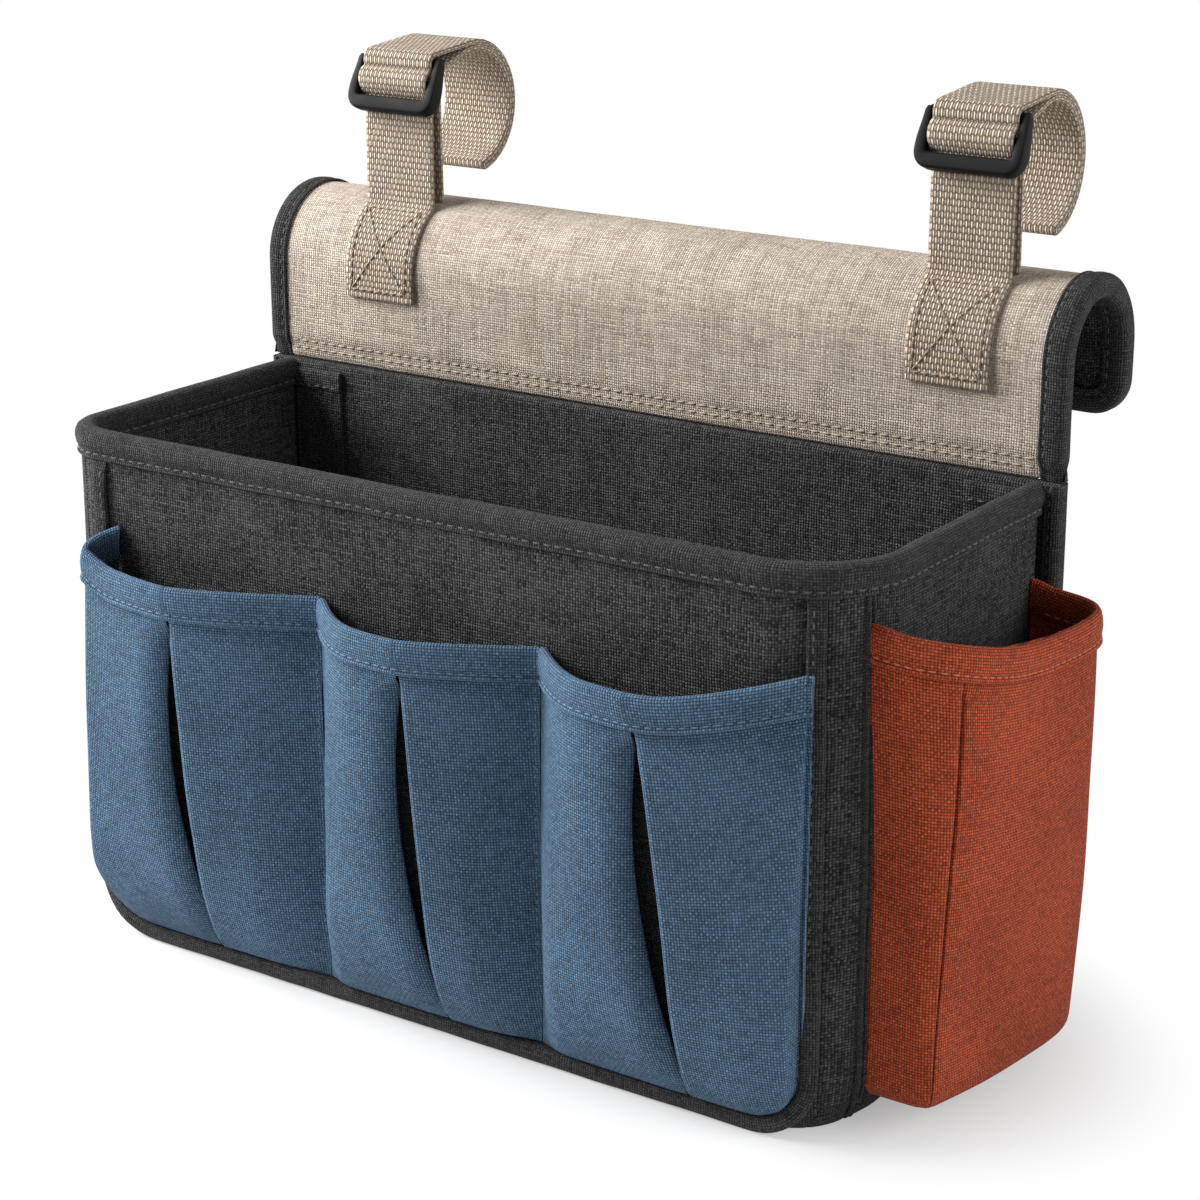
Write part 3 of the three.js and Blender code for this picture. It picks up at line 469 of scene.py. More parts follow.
rustLook = dict(
    dark=(0.44, 0.061, 0.017, 1), light=(0.86, 0.146, 0.048, 1), foldHighlight=(0.58, 0.13, 0.055, 1),
    pitch=(1.0, 1.0), weft=0.7, wobble=0.35, slub=0.25, grain=0.5, patches=22.0, mottle=0.5, gapShade=0.88,
    fade=0.15, rough=0.82, sheen=0.04, bump=0.44)
charcoal = clothMaterial("charcoal_linen", charcoalLook)
tape = clothMaterial("dark_tape", tapeLook)
linen = clothMaterial("beige_linen", linenLook)
webbing = clothMaterial("beige_webbing", webbingLook)
blue = clothMaterial("blue_canvas", blueLook)
rust = clothMaterial("rust_canvas", rustLook)
greyThread = threadMaterial("grey_thread", (0.06, 0.06, 0.06, 1), (0.14, 0.14, 0.14, 1))
beigeThread = threadMaterial("beige_thread", (0.36, 0.29, 0.22, 1), (0.56, 0.47, 0.37, 1))
boxThread = threadMaterial("box_thread", (0.26, 0.2, 0.145, 1), (0.38, 0.3, 0.225, 1))
blueThread = threadMaterial("blue_thread", (0.1, 0.165, 0.25, 1), (0.165, 0.25, 0.35, 1))
rustThread = threadMaterial("rust_thread", (0.45, 0.11, 0.055, 1), (0.62, 0.2, 0.11, 1))
print("cloths and threads mixed")

plasticLook = dict(
    colour=(0.005, 0.005, 0.0055, 1), pale=2.2, smear=60.0, span=(0.3, 0.7), rough=(0.45, 0.6), grain=900.0,
    bump=0.02, gleam=0.08)


def plasticMaterial():
    material, tree, shader = openMaterial("buckle_plastic")
    spot = addNode(tree, "ShaderNodeTexCoord").outputs["Object"]
    grain = speckle(tree, spot, plasticLook["grain"], 3.0).outputs[0]
    smear = speckle(tree, spot, plasticLook["smear"]).outputs[0]
    pale = tuple(plasticLook["pale"] * c for c in plasticLook["colour"][:3]) + (1,)
    feed(tree, shader["Base Color"], mixColour(tree, smear, plasticLook["colour"], pale))
    feed(tree, shader["Roughness"], stretched(tree, smear, *plasticLook["span"], *plasticLook["rough"]))
    shader["Specular IOR Level"].default_value = plasticLook["gleam"]
    bumpFrom(tree, shader, grain, plasticLook["bump"])
    return material


boardLook = dict(
    dark=(0.2, 0.19, 0.17, 1), light=(0.34, 0.32, 0.28, 1), fibre=300.0, span=(0.3, 0.7), rough=(0.75, 0.9),
    bump=0.05)


def boardMaterial():
    material, tree, shader = openMaterial("stiffening_board")
    spot = addNode(tree, "ShaderNodeTexCoord").outputs["Object"]
    fibres = speckle(tree, spot, boardLook["fibre"], 4.0).outputs[0]
    feed(tree, shader["Base Color"], mixColour(tree, fibres, boardLook["dark"], boardLook["light"]))
    feed(tree, shader["Roughness"], stretched(tree, fibres, *boardLook["span"], *boardLook["rough"]))
    bumpFrom(tree, shader, fibres, boardLook["bump"])
    return material


plastic = plasticMaterial()
board = boardMaterial()
for name, solid in solids.items():
    if name.endswith(("_board", "_former")):
        solid.data.materials.clear()
        solid.data.materials.append(board)
print("plastic and boards mixed")


# Box: outline seen from above, from its left rear end round the front to the right rear end

box = dict(
    halfWidth=165, front=-64, rear=63.7, corner=26, loosen=((-6.5, 30, 60), (10, 80, 100)), wall=4.8,
    wallTop=191.8, rim=193, frontRound=4, sideRound=12, innerRound=0.8, cornerLift=20, baseInset=13,
    baseGap=0.15, frontSeam=29, sideSeam=68, wallStep=5, pinch=0.9, pinchRun=1.1, crumple=(42, 0.35, 3),
    baseCrumple=(50, 0.2, 6))
cornerX = box["halfWidth"] - box["corner"]
cornerY = box["front"] + box["corner"]
sideRun = box["rear"] - cornerY
cornerRun = box["corner"] * math.pi / 2
frontRun = 2 * cornerX
fullRun = 2 * sideRun + 2 * cornerRun + frontRun


def planAt(run, z=0.0, side=0):  # point, outward normal and share of the way round the corner
    if run > fullRun / 2:
        x, y, nx, ny, share = planAt(fullRun - run, z, 1)
        return -x, y, -nx, ny, share
    amount, low, climb = box["loosen"][side]  # the right corner slackens upwards, the left one tightens
    loose = amount * ease((z - low) / climb)
    radius = box["corner"] + loose
    turnRun = radius * math.pi / 2
    middle = sideRun + cornerRun / 2
    looseMiddle = sideRun - loose + turnRun / 2
    if run < middle:
        run = run * looseMiddle / middle
    else:
        rest = (fullRun / 2 - middle, cornerX - loose + turnRun / 2)
        run = looseMiddle + (run - middle) * rest[1] / rest[0]
    run -= sideRun - loose
    if run < 0:
        return -box["halfWidth"], cornerY + loose - run, -1.0, 0.0, 0.0
    if run < turnRun:
        turn = math.pi + run / radius
        nx, ny = math.cos(turn), math.sin(turn)
        return radius * (1 + nx) - box["halfWidth"], box["front"] + radius * (1 + ny), nx, ny, run / turnRun
    return radius - box["halfWidth"] + run - turnRun, box["front"], 0.0, -1.0, 1.0


def seamRun(angle):  # where a seam at an angle round the left corner stands on the outline
    return sideRun + box["corner"] * math.radians(90 - angle)


def footRound(share):  # how far the foot of a wall is drawn in, and over what height
    low = mix(box["sideRound"], box["frontRound"], share)
    return low, low + box["cornerLift"] * math.sin(math.pi * share)


def footInset(share, z):
    low, tall = footRound(share)
    return low - low * math.sin(math.acos(1 - clamp(z / tall)))


def wallSection(share, pinch):  # inset and height round one upright cut through a wall
    foot = box["baseInset"] - box["baseGap"]
    low, tall = footRound(share)
    section = [(inset, 0.0) for inset in ramp(foot, low, 2)]
    section += [
        (low - low * math.sin(t) + pinch * math.sin(t), tall - tall * math.cos(t))
        for t in ramp(0, math.pi / 2, 7)[1:]]
    section += [(pinch, z) for z in ramp(tall, box["wallTop"], 30)[1:]]
    inner = max(low - box["wall"], box["innerRound"])
    section += [(box["wall"], z) for z in ramp(box["wallTop"], box["wall"] + inner, 30)]
    section += [
        (box["wall"] + inner - inner * math.cos(t), box["wall"] + inner - inner * math.sin(t))
        for t in ramp(0, math.pi / 2, 4)[1:]]
    section += [(inset, box["wall"]) for inset in ramp(box["wall"] + inner, foot, 2)[1:]]
    return section


def wallPanel(name, start, end):
    count = max(round((end - start) / box["wallStep"]), 4)
    stations = [start + 0.02, start + 0.5, start + 1.2] + ramp(start + 2.5, end - 2.5, count)
    stations += [end - 1.2, end - 0.5, end - 0.02]
    rings = []
    for run in stations:
        pinch = box["pinch"] * math.exp(-(min(run - start, end - run) / box["pinchRun"]) ** 2)
        ring = []
        for inset, z in wallSection(planAt(run)[4], pinch):
            x, y, nx, ny = planAt(run, z)[:4]
            ring.append((x - nx * inset, y - ny * inset, z))
        rings.append(ring)
    piece = loftPiece(name + "_cloth", rings, charcoal, "caddy", [name])
    rumple(piece, *box["crumple"])  # one field for all the panels, so that their seams stay shut


frontSeam = seamRun(box["frontSeam"])
sideSeam = seamRun(box["sideSeam"])
wallPanel("left_wall", 0, sideSeam)
wallPanel("left_corner", sideSeam, frontSeam)
wallPanel("front_panel", frontSeam, fullRun - frontSeam)
wallPanel("right_corner", fullRun - frontSeam, fullRun - sideSeam)
wallPanel("right_wall", fullRun - sideSeam, fullRun)


def basePanel():
    half = box["halfWidth"] - box["baseInset"] - box["baseGap"]
    tight = box["corner"] - box["baseInset"]
    rings = []
    near = [0, 0.4, 2, 5]  # closer rows at the rounded ends
    stations = [n - half for n in near] + ramp(9 - half, half - 9, 40) + [half - n for n in reversed(near)]
    for x in stations:
        past = max(abs(x) - cornerX, 0.0)
        front = cornerY - math.sqrt(max(tight ** 2 - past ** 2, 0.0))
        under = [(x, y, 0.0) for y in ramp(front, box["rear"], 14)]
        rings.append(under + [(x, y, box["wall"]) for y in ramp(box["rear"], front, 14)])
    piece = loftPiece("base_panel_cloth", rings, charcoal, "caddy", ["base_panel"])
    rumple(piece, *box["baseCrumple"])


basePanel()
print("box panels lofted")

# Tape rolled over the rim: offset from the wall's outer face, and height
rim = dict(
    section=(
        (0.35, 182.5), (0.9, 182.5), (1.35, 183.0), (1.25, 183.8), (0.75, 184.5), (0.95, 185.3),
        (1.6, 186.6), (1.95, 188.4), (1.75, 190.4), (0.9, 192.0), (-0.6, 192.9), (-2.4, 193.2),
        (-4.2, 192.9), (-5.7, 192.0), (-6.5, 190.4), (-6.7, 188.4), (-6.4, 186.6), (-5.75, 185.3),
        (-5.55, 184.5), (-6.05, 183.8), (-6.15, 183.0), (-5.7, 182.5), (-5.15, 182.5), (-5.1, 184.0),
        (-5.1, 191.0), (-4.6, 192.0), (-0.2, 192.0), (0.3, 191.0), (0.3, 184.0)),
    stitch=dict(length=2.9, pitch=4.3, radius=0.34), stitchHeight=184.5, outer=0.75, inner=-5.55,
    cornerPast=14, crumple=(24, 0.35, 7))


def rimStations():
    corner = ramp(sideRun - rim["cornerPast"], sideRun + cornerRun + rim["cornerPast"], 28)
    left = ramp(0, corner[0], 22)[:-1] + corner
    front = ramp(corner[-1], fullRun - corner[-1], 58)[1:-1]
    return left + front + [fullRun - run for run in reversed(left)]


def rimBinding():
    rings = []
    for run in rimStations():
        x, y, nx, ny = planAt(run, box["rim"])[:4]
        rings.append([(x + nx * out, y + ny * out, z) for out, z in rim["section"]])
    piece = loftPiece("rim_binding_roll", rings, tape, "caddy", ["rim_binding"])
    rumple(piece, *rim["crumple"])
    rows = []
    for side, out in ((1, rim["outer"]), (-1, rim["inner"])):
        points, normals = [], []
        for run in rimStations():
            x, y, nx, ny = planAt(run, box["rim"])[:4]
            spot = Vector((x + nx * out, y + ny * out, rim["stitchHeight"]))
            points.append(rumpled(spot, *rim["crumple"]))
            normals.append(Vector((nx, ny, 0)) * side)
        rows.append((points, normals))
    sewRow("rim_stitches", rows, greyThread, "caddy", rim["stitch"])


rimBinding()

# Piping: a cord in tape under the front that flattens to a folded lip up the front seams,
# and a double bead up the side seams; the tops run in under the rim tape
piping = dict(
    radius=2.6, tall=1.2, bends=(28, 18), gap=0.3, flat=0.4, flatFrom=24, flatRun=60, top=186, square=0.6,
    leans=(8, 29), leanFrom=34, leanRun=90, press=0.2, pressFrom=176, pressRun=7, crumple=(16, 0.22, 8),
    footBead=2.5, footFlat=0.3, footRun=10, beadSeat=0.25, beadCrumple=(14, 0.2, 9),
    bead=((-1.7, -0.6), (-1.65, 0.9), (-1.1, 1.5), (-0.5, 1.35), (0, 0.4), (0.5, 1.35), (1.1, 1.5),
          (1.65, 0.9), (1.7, -0.6), (0, -1.5)),
    stitch=dict(length=2.4, pitch=3.9, radius=0.28), stitchSpan=(60, 180), stitchAside=1.1, stitchOut=0.86)
pipingLine = box["corner"] + piping["gap"] + piping["radius"]
pipingX = cornerX + pipingLine * math.sin(math.radians(box["frontSeam"]))


def pipingY(x):
    past = max(abs(x) - cornerX, 0.0)
    return cornerY - math.sqrt(pipingLine ** 2 - past ** 2)


def underRim(z):  # seams press flat where the rim tape covers them
    return mix(1.0, piping["press"], ease((z - piping["pressFrom"]) / piping["pressRun"]))


def pipingLip(side, z):  # upright part of the front piping: point, outward direction and flatness
    lean = ease((z - piping["leanFrom"]) / piping["leanRun"])
    run = seamRun(mix(box["frontSeam"], piping["leans"][side > 0], lean))
    x, y, nx, ny = planAt(run if side < 0 else fullRun - run, z)[:4]
    flat = mix(1.0, piping["flat"], ease((z - piping["flatFrom"]) / piping["flatRun"])) * underRim(z)
    out = piping["gap"] + piping["radius"] * flat
    return Vector((x + nx * out, y + ny * out, z)), Vector((nx, ny, 0)), flat


def frontPiping():
    foot = piping["radius"] * piping["tall"] + piping["gap"]
    first, last = piping["bends"]
    left = [pipingLip(-1, z) for z in ramp(piping["top"], foot + first, 44)[:-1]]
    right = [pipingLip(1, z) for z in ramp(foot + last, piping["top"], 44)[1:]]
    line = arc((first - pipingX, foot + first), first, 180, 270, 16)
    line += [(x, foot) for x in ramp(first - pipingX, pipingX - last, 64)[1:-1]]
    line += arc((pipingX - last, foot + last), last, 270, 360, 14)
    under = []
    for x, z in line:
        past = max(abs(x) - cornerX, 0.0) / pipingLine
        out = Vector((math.copysign(past, x), -math.sqrt(1 - past ** 2), 0))
        under.append((Vector((x, pipingY(x), z)), out, 1.0))
    stations = left + under + right
    rings = []
    for i, (point, out, flat) in enumerate(stations):
        ahead = stations[min(i + 1, len(stations) - 1)][0] - stations[max(i - 1, 0)][0]
        across = ahead.normalized().cross(out).normalized()
        ring = []
        for t in ramp(0, 2 * math.pi, 18)[:-1]:
            a = math.copysign(abs(math.cos(t)) ** piping["square"], math.cos(t)) * piping["tall"]
            b = math.copysign(abs(math.sin(t)) ** piping["square"], math.sin(t)) * flat
            ring.append(tuple(point + piping["radius"] * (across * a + out * b)))
        rings.append(ring)
    piece = loftPiece("front_piping_cord", rings, tape, "caddy", ["front_piping"])
    rumple(piece, *piping["crumple"])
    rows = []
    for side in (-1, 1):
        points, normals = [], []
        for z in ramp(*piping["stitchSpan"], 40):
            point, out, flat = pipingLip(side, z)
            aside = Vector((-out.y, out.x, 0)) * -side
            lift = out * piping["radius"] * flat * piping["stitchOut"]
            points.append(point + aside * piping["stitchAside"] + lift)
            normals.append(out)
        rows.append((points, normals))
    sewRow("front_seam_stitches", rows, greyThread, "caddy", piping["stitch"])


def seamBead(name, side):
    run = sideSeam if side < 0 else fullRun - sideSeam
    rings = []
    for z in ramp(piping["footBead"], piping["top"], 52):
        x, y, nx, ny = planAt(run, z)[:4]
        flat = underRim(z) * mix(piping["footFlat"], 1, ease((z - piping["footBead"]) / piping["footRun"]))
        seat = piping["beadSeat"] - footInset(planAt(run)[4], z)
        rings.append([
            (x - ny * a + nx * (b * flat + seat), y + nx * a + ny * (b * flat + seat), z)
            for a, b in piping["bead"]])
    piece = loftPiece(name + "_bead", rings, tape, "caddy", [name], crease=80)
    rumple(piece, *piping["beadCrumple"])


frontPiping()
seamBead("left_seam_piping", -1)
seamBead("right_seam_piping", 1)
print("rim and piping sewn")

# Back panel, its bindings and the inner corner facings
back = dict(
    half=171, front=64, thick=6, foot=2, top=193, edge=2, bandFoot=2.6, bandTop=192.6, bandWidth=5.7,
    crumple=(55, 0.2, 10), bandCrumple=(20, 0.2, 11))


def backPanel():
    edge = back["edge"]
    near, far = back["front"] + edge, back["front"] + back["thick"] - edge
    low, high = back["foot"] + edge, back["top"] - edge
    turns = ramp(0, math.pi / 2, 4)
    front = [(back["front"], z) for z in ramp(low, high, 36)]
    top = [(near - edge * math.cos(t), high + edge * math.sin(t)) for t in turns[1:]]
    topRear = [(far + edge * math.sin(t), high + edge * math.cos(t)) for t in turns]
    behind = [(back["front"] + back["thick"], z) for z in ramp(high, low, 36)[1:]]
    lowRear = [(far + edge * math.cos(t), low - edge * math.sin(t)) for t in turns[1:]]
    lowFront = [(near - edge * math.sin(t), low - edge * math.cos(t)) for t in turns][:-1]
    section = front + top + topRear + behind + lowRear + lowFront
    rings = [[(x, y, z) for y, z in section] for x in ramp(-back["half"], back["half"], 60)]
    piece = loftPiece("back_panel_cloth", rings, charcoal, "caddy", ["back_panel"])
    rumple(piece, *back["crumple"])


binding = dict(
    wrap=1.2, skin=0.9, stitch=dict(length=2.6, pitch=4.0, radius=0.3), stitchIn=1.9, stitchOut=0.75)


def bindSection(width, half):  # inward along the cloth, and across its thickness
    wrap, skin = binding["wrap"], binding["skin"]
    inner = width - wrap
    out = half + wrap
    face = [
        (inner, out - skin), (inner + 0.15, out - 0.4), (inner - 0.3, out - 0.05),
        (inner - 1.2, out - 0.28), (inner - 1.9, out - 0.45), (inner - 2.6, out - 0.1),
        (mix(inner, 0, 0.6), out + 0.18), (0.9, out), (-0.1, out - 0.5), (-0.85, out - 1.5),
        (-wrap, out - 2.8)]
    outside = face + [(a, -b) for a, b in reversed(face)]
    inside = [(inner, skin - out), (0.3, skin - out), (-0.3, skin - out + 0.6)]
    return outside + inside[1:] + [(a, -b) for a, b in reversed(inside[1:])]


def bindRings(stations, width):  # each station: edge point, inward and outward directions, half thickness
    return [
        [tuple(p + inward * a + out * b) for a, b in bindSection(width, half)]
        for p, inward, out, half in stations]


def bindStitches(stations, width):
    inside = width - binding["wrap"] - binding["stitchIn"]
    rows = []
    for side in (1, -1):
        points = [
            p + inward * inside + out * side * (half + binding["stitchOut"])
            for p, inward, out, half in stations]
        rows.append((points, [out * side for p, inward, out, half in stations]))
    return rows


def backBinding(name, side):
    middle = back["front"] + back["thick"] / 2
    inward, out = Vector((-side, 0, 0)), Vector((0, -1, 0))
    stations = [
        (Vector((side * back["half"], middle, z)), inward, out, back["thick"] / 2)
        for z in ramp(back["bandFoot"], back["bandTop"], 48)]
    piece = loftPiece(
        name + "_tape", bindRings(stations, back["bandWidth"]), tape, "caddy", [name])
    rumple(piece, *back["bandCrumple"])
    rows = bindStitches(stations, back["bandWidth"])
    sewRow(name + "_stitches", rows, greyThread, "caddy", binding["stitch"])


facing = dict(
    inner=136.7, outer=158.7, front=62.5, rear=63.7, foot=16.8, top=190, hem=8, hemThick=0.5, folds=0.5,
    waves=9, stitchDrop=6.4)


def cornerFacing(name, side):
    rings = []
    for share in ramp(0, 1, 14):
        x = side * mix(facing["inner"], facing["outer"], share)
        wave = facing["folds"] * math.sin(facing["waves"] * share + 1) * math.sin(math.pi * share)
        top, hemFoot = facing["top"], facing["top"] - facing["hem"]
        heights = ramp(facing["foot"], hemFoot, 36) + [hemFoot + 0.4, top - 4, top - 0.8, top]
        front = []
        for z in heights:
            hem = facing["hemThick"] if hemFoot + 0.2 < z < top else 0.0
            front.append((x, facing["front"] - wave - hem, z))
        rings.append(front + [(x, facing["rear"], z) for z in reversed(heights)])
    loftPiece(name + "_cloth", rings, charcoal, "caddy", [name])
    y, z = facing["front"] - facing["hemThick"], facing["top"] - facing["stitchDrop"]
    points = [Vector((side * x, y, z)) for x in ramp(facing["inner"] + 1, facing["outer"] - 1, 8)]
    row = (points, [Vector((0, -1, 0))] * len(points))
    sewRow(name + "_stitches", [row], greyThread, "caddy", binding["stitch"])


backPanel()
for name, side in (("left", -1), ("right", 1)):
    backBinding(name + "_back_binding", side)
    cornerFacing(name + "_facing", side)
print("back panel bound")

# Flap: linen over a former, folded over the table edge
flap = dict(
    half=171, front=64, radius=27, crownZ=232, thick=6, skin=1.2, coverGap=0.4, liningGap=0.3, hem=207,
    hemRound=12, lip=202.1, lipOut=0.35, foldY=67, foldZ=195.1, nose=1.8, slimNose=0.9, slimFrom=9.5,
    slimRun=2, band=9, tapeFoot=1.45, tapeFold=(0.1, 0.55), tapeTop=0.6, bare=6, crumple=(46, 0.3, 12),
    bandCrumple=(20, 0.2, 13), rows=(197.6, 200.6), rowLean=0.9, rowRise=6.9,
    stitch=dict(length=3.3, pitch=4.6, radius=0.42))
crownY = flap["front"] + flap["radius"]
flapRear = flap["front"] + 2 * flap["radius"]


def flapLine(depth, low, foot):  # side view of one face, from the front leg over the crown to the rear leg
    line = [(flap["front"] + depth, z) for z in ramp(low, flap["crownZ"], 10)[:-1]]
    line += arc((crownY, flap["crownZ"]), flap["radius"] - depth, 180, 0, 36)
    return line + [(flapRear - depth, z) for z in ramp(flap["crownZ"], foot, 8)[1:]]


def rearFoot(x):
    return flap["hem"] + drawIn(flap["hemRound"], flap["half"] - abs(x))


def flapStations():
    near = [0, 0.3, 1, 2.2, 4, 6.5, 9.5, 12]
    return [n - flap["half"] for n in near] + ramp(16 - flap["half"], flap["half"] - 16, 60) + [
        flap["half"] - n for n in reversed(near)]


def flapCover():
    rings = []
    for x in flapStations():
        foot = rearFoot(x)
        slim = ease((abs(x) - flap["half"] + flap["slimFrom"]) / flap["slimRun"])  # under the end tapes
        nose = mix(flap["nose"], flap["slimNose"], slim)
        lipY = ramp(flap["foldY"] - nose, flap["front"] + flap["lipOut"], 6)
        lip = list(zip(lipY, ramp(flap["foldZ"] + 0.1, flap["lip"], 6)))
        outer = lip[:-1] + flapLine(0, flap["lip"], foot)
        inner = list(reversed(flapLine(flap["skin"], flap["lip"] + flap["coverGap"], foot)))
        heel = [(flap["foldY"] + nose, flap["lip"]), (flap["foldY"] + nose, flap["foldZ"])]
        tip = arc((flap["foldY"], flap["foldZ"]), nose, 0, -180, 8)[1:-1]
        rings.append([(x, y, z) for y, z in outer + inner + heel + tip])
    piece = loftPiece("flap_cover_linen", rings, linen, "flap", ["flap_cover"])
    rumple(piece, *flap["crumple"])
    return piece


def flapLining():
    rings = []
    for x in flapStations():
        foot = rearFoot(x)
        low = flap["lip"] + flap["liningGap"]
        outer = flapLine(flap["thick"] - flap["skin"], low, foot)
        inner = list(reversed(flapLine(flap["thick"], low, foot)))
        rings.append([(x, y, z) for y, z in outer + inner])
    return loftPiece("flap_lining_cloth", rings, charcoal, "flap", ["flap_lining"])


def flapEdge():  # stations round both ends and the rear hem, from the fold: as for any binding
    mid = flap["thick"] / 2
    left = []
    rightward, forward = Vector((1, 0, 0)), Vector((0, -1, 0))
    fold, low = flap["foldZ"], flap["foldZ"] - flap["tapeFoot"]
    for z in ramp(low, fold, 4) + ramp(fold, flap["lip"] - flap["tapeTop"], 6)[1:]:
        thin = mix(*flap["tapeFold"], clamp((z - low) / (fold - low)))  # turns clear of the back panel
        half = mix(thin, mid, ease((z - fold) / (flap["lip"] - fold)))
        left.append((Vector((-flap["half"], flap["foldY"], z)), rightward, forward, half))
    for y, z in flapLine(mid, flap["lip"], flap["hem"] + flap["hemRound"]):
        if z <= flap["crownZ"]:
            out = Vector((0, -1 if y < crownY else 1, 0))
        else:
            out = Vector((0, y - crownY, z - flap["crownZ"])).normalized()
        left.append((Vector((-flap["half"], y, z)), rightward, out, mid))
    y = flapRear - mid
    rear = Vector((0, 1, 0))
    turnX = flap["half"] - flap["hemRound"]
    turnZ = flap["hem"] + flap["hemRound"]
    for x, z in arc((-turnX, turnZ), flap["hemRound"], 180, 270, 10)[1:]:
        inward = Vector((-turnX - x, 0, turnZ - z)).normalized()
        left.append((Vector((x, y, z)), inward, rear, mid))
    hem = [
        (Vector((x, y, flap["hem"])), Vector((0, 0, 1)), rear, mid)
        for x in ramp(-turnX, turnX, 56)[1:-1]]
    right = [
        (Vector((-p.x, p.y, p.z)), Vector((-i.x, i.y, i.z)), out, half)
        for p, i, out, half in reversed(left)]
    return left + hem + right


def flapBinding():
    stations = flapEdge()
    piece = loftPiece(
        "flap_binding_tape", bindRings(stations, flap["band"]), tape, "flap", ["flap_binding"])
    rumple(piece, *flap["bandCrumple"])
    rows = bindStitches(stations[flap["bare"]:-flap["bare"]], flap["band"])
    sewRow("flap_binding_stitches", rows, greyThread, "flap", binding["stitch"])
    rows = []
    span = flap["half"] - flap["band"]
    for z in flap["rows"]:
        y = flap["front"] + flap["lipOut"] + flap["rowLean"] * (flap["lip"] - z) / flap["rowRise"]
        row = [rumpled(Vector((x, y, z)), *flap["crumple"]) for x in ramp(-span, span, 60)]
        rows.append((row, [Vector((0, -1, 0))] * len(row)))
    sewRow("flap_hem_stitches", rows, beigeThread, "flap", flap["stitch"])


flapCloth = flapCover()
flapInside = flapLining()
flapBinding()
print("flap covered")

# Front pockets: one pleated cloth each, whose left half rolls in at the pleat under the right half's fold
pockets = dict(
    foot=6.6, plane=-64.3, rim=148, rimRise=10, depth=15, bulge=2.5, bottomRound=40, footShare=0.14,
    endRounds=(25, 14.8), cloth=1.1, seam=1.26, margin=0.5, gap=0.6, shift=7.5,
    pleats=((0.505, 0.555), (0.52, 0.615), (0.475, 0.63)), pleatBow=1.9, peak=6.5, pleatStart=0.932,
    pleatDepth=15, pleatFloor=1.5, pleatGap=10.5, pleatSkew=0.85, pleatRun=0.06, barrel=12, lipGap=1.3,
    fall=5, fallShare=0.4, fallLeast=0.15, fallGap=4, round=0.65, lift=2.0, liftRun=18, crowd=1.15,
    endTop=8, endFoot=0.5, endClimb=8, endRun=3, endLean=6, tipRuns=(0.25, 0.45), tipBends=(2, 1.5),
    overlap=0.2, crumple=(38, 0.45), seed=14, seamStitch=dict(length=1.7, pitch=3.0, radius=0.25),
    seamSpan=(24, 136), seamIn=1.3, seamOut=0.05)
pocketEnds = dict(
    leftOpen=0.85, leftRun=0.32, leftFoot=0.14, rightBend=1.2, rightOpen=0.75, openRun=0.2, rightRun=0.26)
pocketColumns = dict(side=10, left=20, barrel=10, floor=5, right=24)
pocketSpan = 2 * (pipingX - piping["radius"] - pockets["gap"])
pocketPitch = (pocketSpan + pockets["gap"]) / 3
pocketTall = pockets["rim"] - pockets["foot"]

# Inside of the pleat: x past the rolled lip or past the fold, and share of the depth
pleatIn = ((-0.4, 0.06), (-2.6, 0.25), (-5.5, 0.5), (-8.5, 0.75), (-10.6, 0.93), (-11.0, 1.0))
pleatOut = (
    (9.0, 1.0), (9.6, 0.85), (9.2, 0.6), (7.6, 0.4), (5.2, 0.27), (2.6, 0.18), (1.1, 0.1), (0.3, 0.03))
# Bellows fold at the right end: x past the end, and share of the depth
bellows = (
    (0.5, 0.9), (0.75, 0.6), (0.6, 0.25), (0.7, 0.06), (1.1, 0.0), (1.7, 0.12), (2.1, 0.14), (2.4, 0.0))


def swell(share):
    return math.sin(clamp(share) * math.pi / 2)


def standOff(pocket, x, v, rise):  # distance from the wall at a share of the height
    ends = pocketEnds
    left = 0 if pocket["openLeft"] else pockets["margin"]
    right = 0 if pocket["openRight"] else pockets["margin"]
    u = clamp((x - pocket["x0"] - left) / (pocket["x1"] - pocket["x0"] - left - right))
    top = pocket["pleat"][0]
    if pocket["openLeft"]:
        leftTop, leftFoot = mix(ends["leftOpen"], 1, swell(u / top)), ends["leftOpen"]
    else:
        leftTop, leftFoot = swell(u / ends["leftRun"]), swell(u / ends["leftFoot"])
    rightTop = 1 - max((u - top) / (1 - top), 0) ** ends["rightBend"]
    if pocket["openRight"]:
        rightFoot = mix(ends["rightOpen"], 1, swell((1 - u) / ends["openRun"]))
    else:
        rightFoot = swell((1 - u) / ends["rightRun"])
    along = mix(leftFoot * rightFoot, leftTop * rightTop, v)
    depth = pockets["depth"] + pockets["bulge"] * math.sin(math.pi * v)
    rounded = 1 - drawIn(pockets["bottomRound"], rise) / pockets["bottomRound"]
    arch = math.sin(math.pi / 2 * min(u / top, (1 - u) / (1 - top)))
    arch **= 2 if pocket["openLeft"] and u < top else 1
    stand = (depth - pockets["seam"]) * along + pockets["peak"] * v * arch  # most at the pleat's rim
    return pockets["seam"] + stand * mix(pockets["footShare"], 1, rounded)


def pocketTop(pocket, x):
    u = clamp((x - pocket["x0"]) / (pocket["x1"] - pocket["x0"]))
    leftRun, rightRun = pockets["tipRuns"]
    leftBend, rightBend = pockets["tipBends"]
    left = max(1 - u / leftRun, 0) if pocket["openLeft"] else 0
    right = max(1 - (1 - u) / rightRun, 0) if pocket["openRight"] else 0
    return pockets["rim"] + pockets["rimRise"] * (left ** leftBend + right ** rightBend)


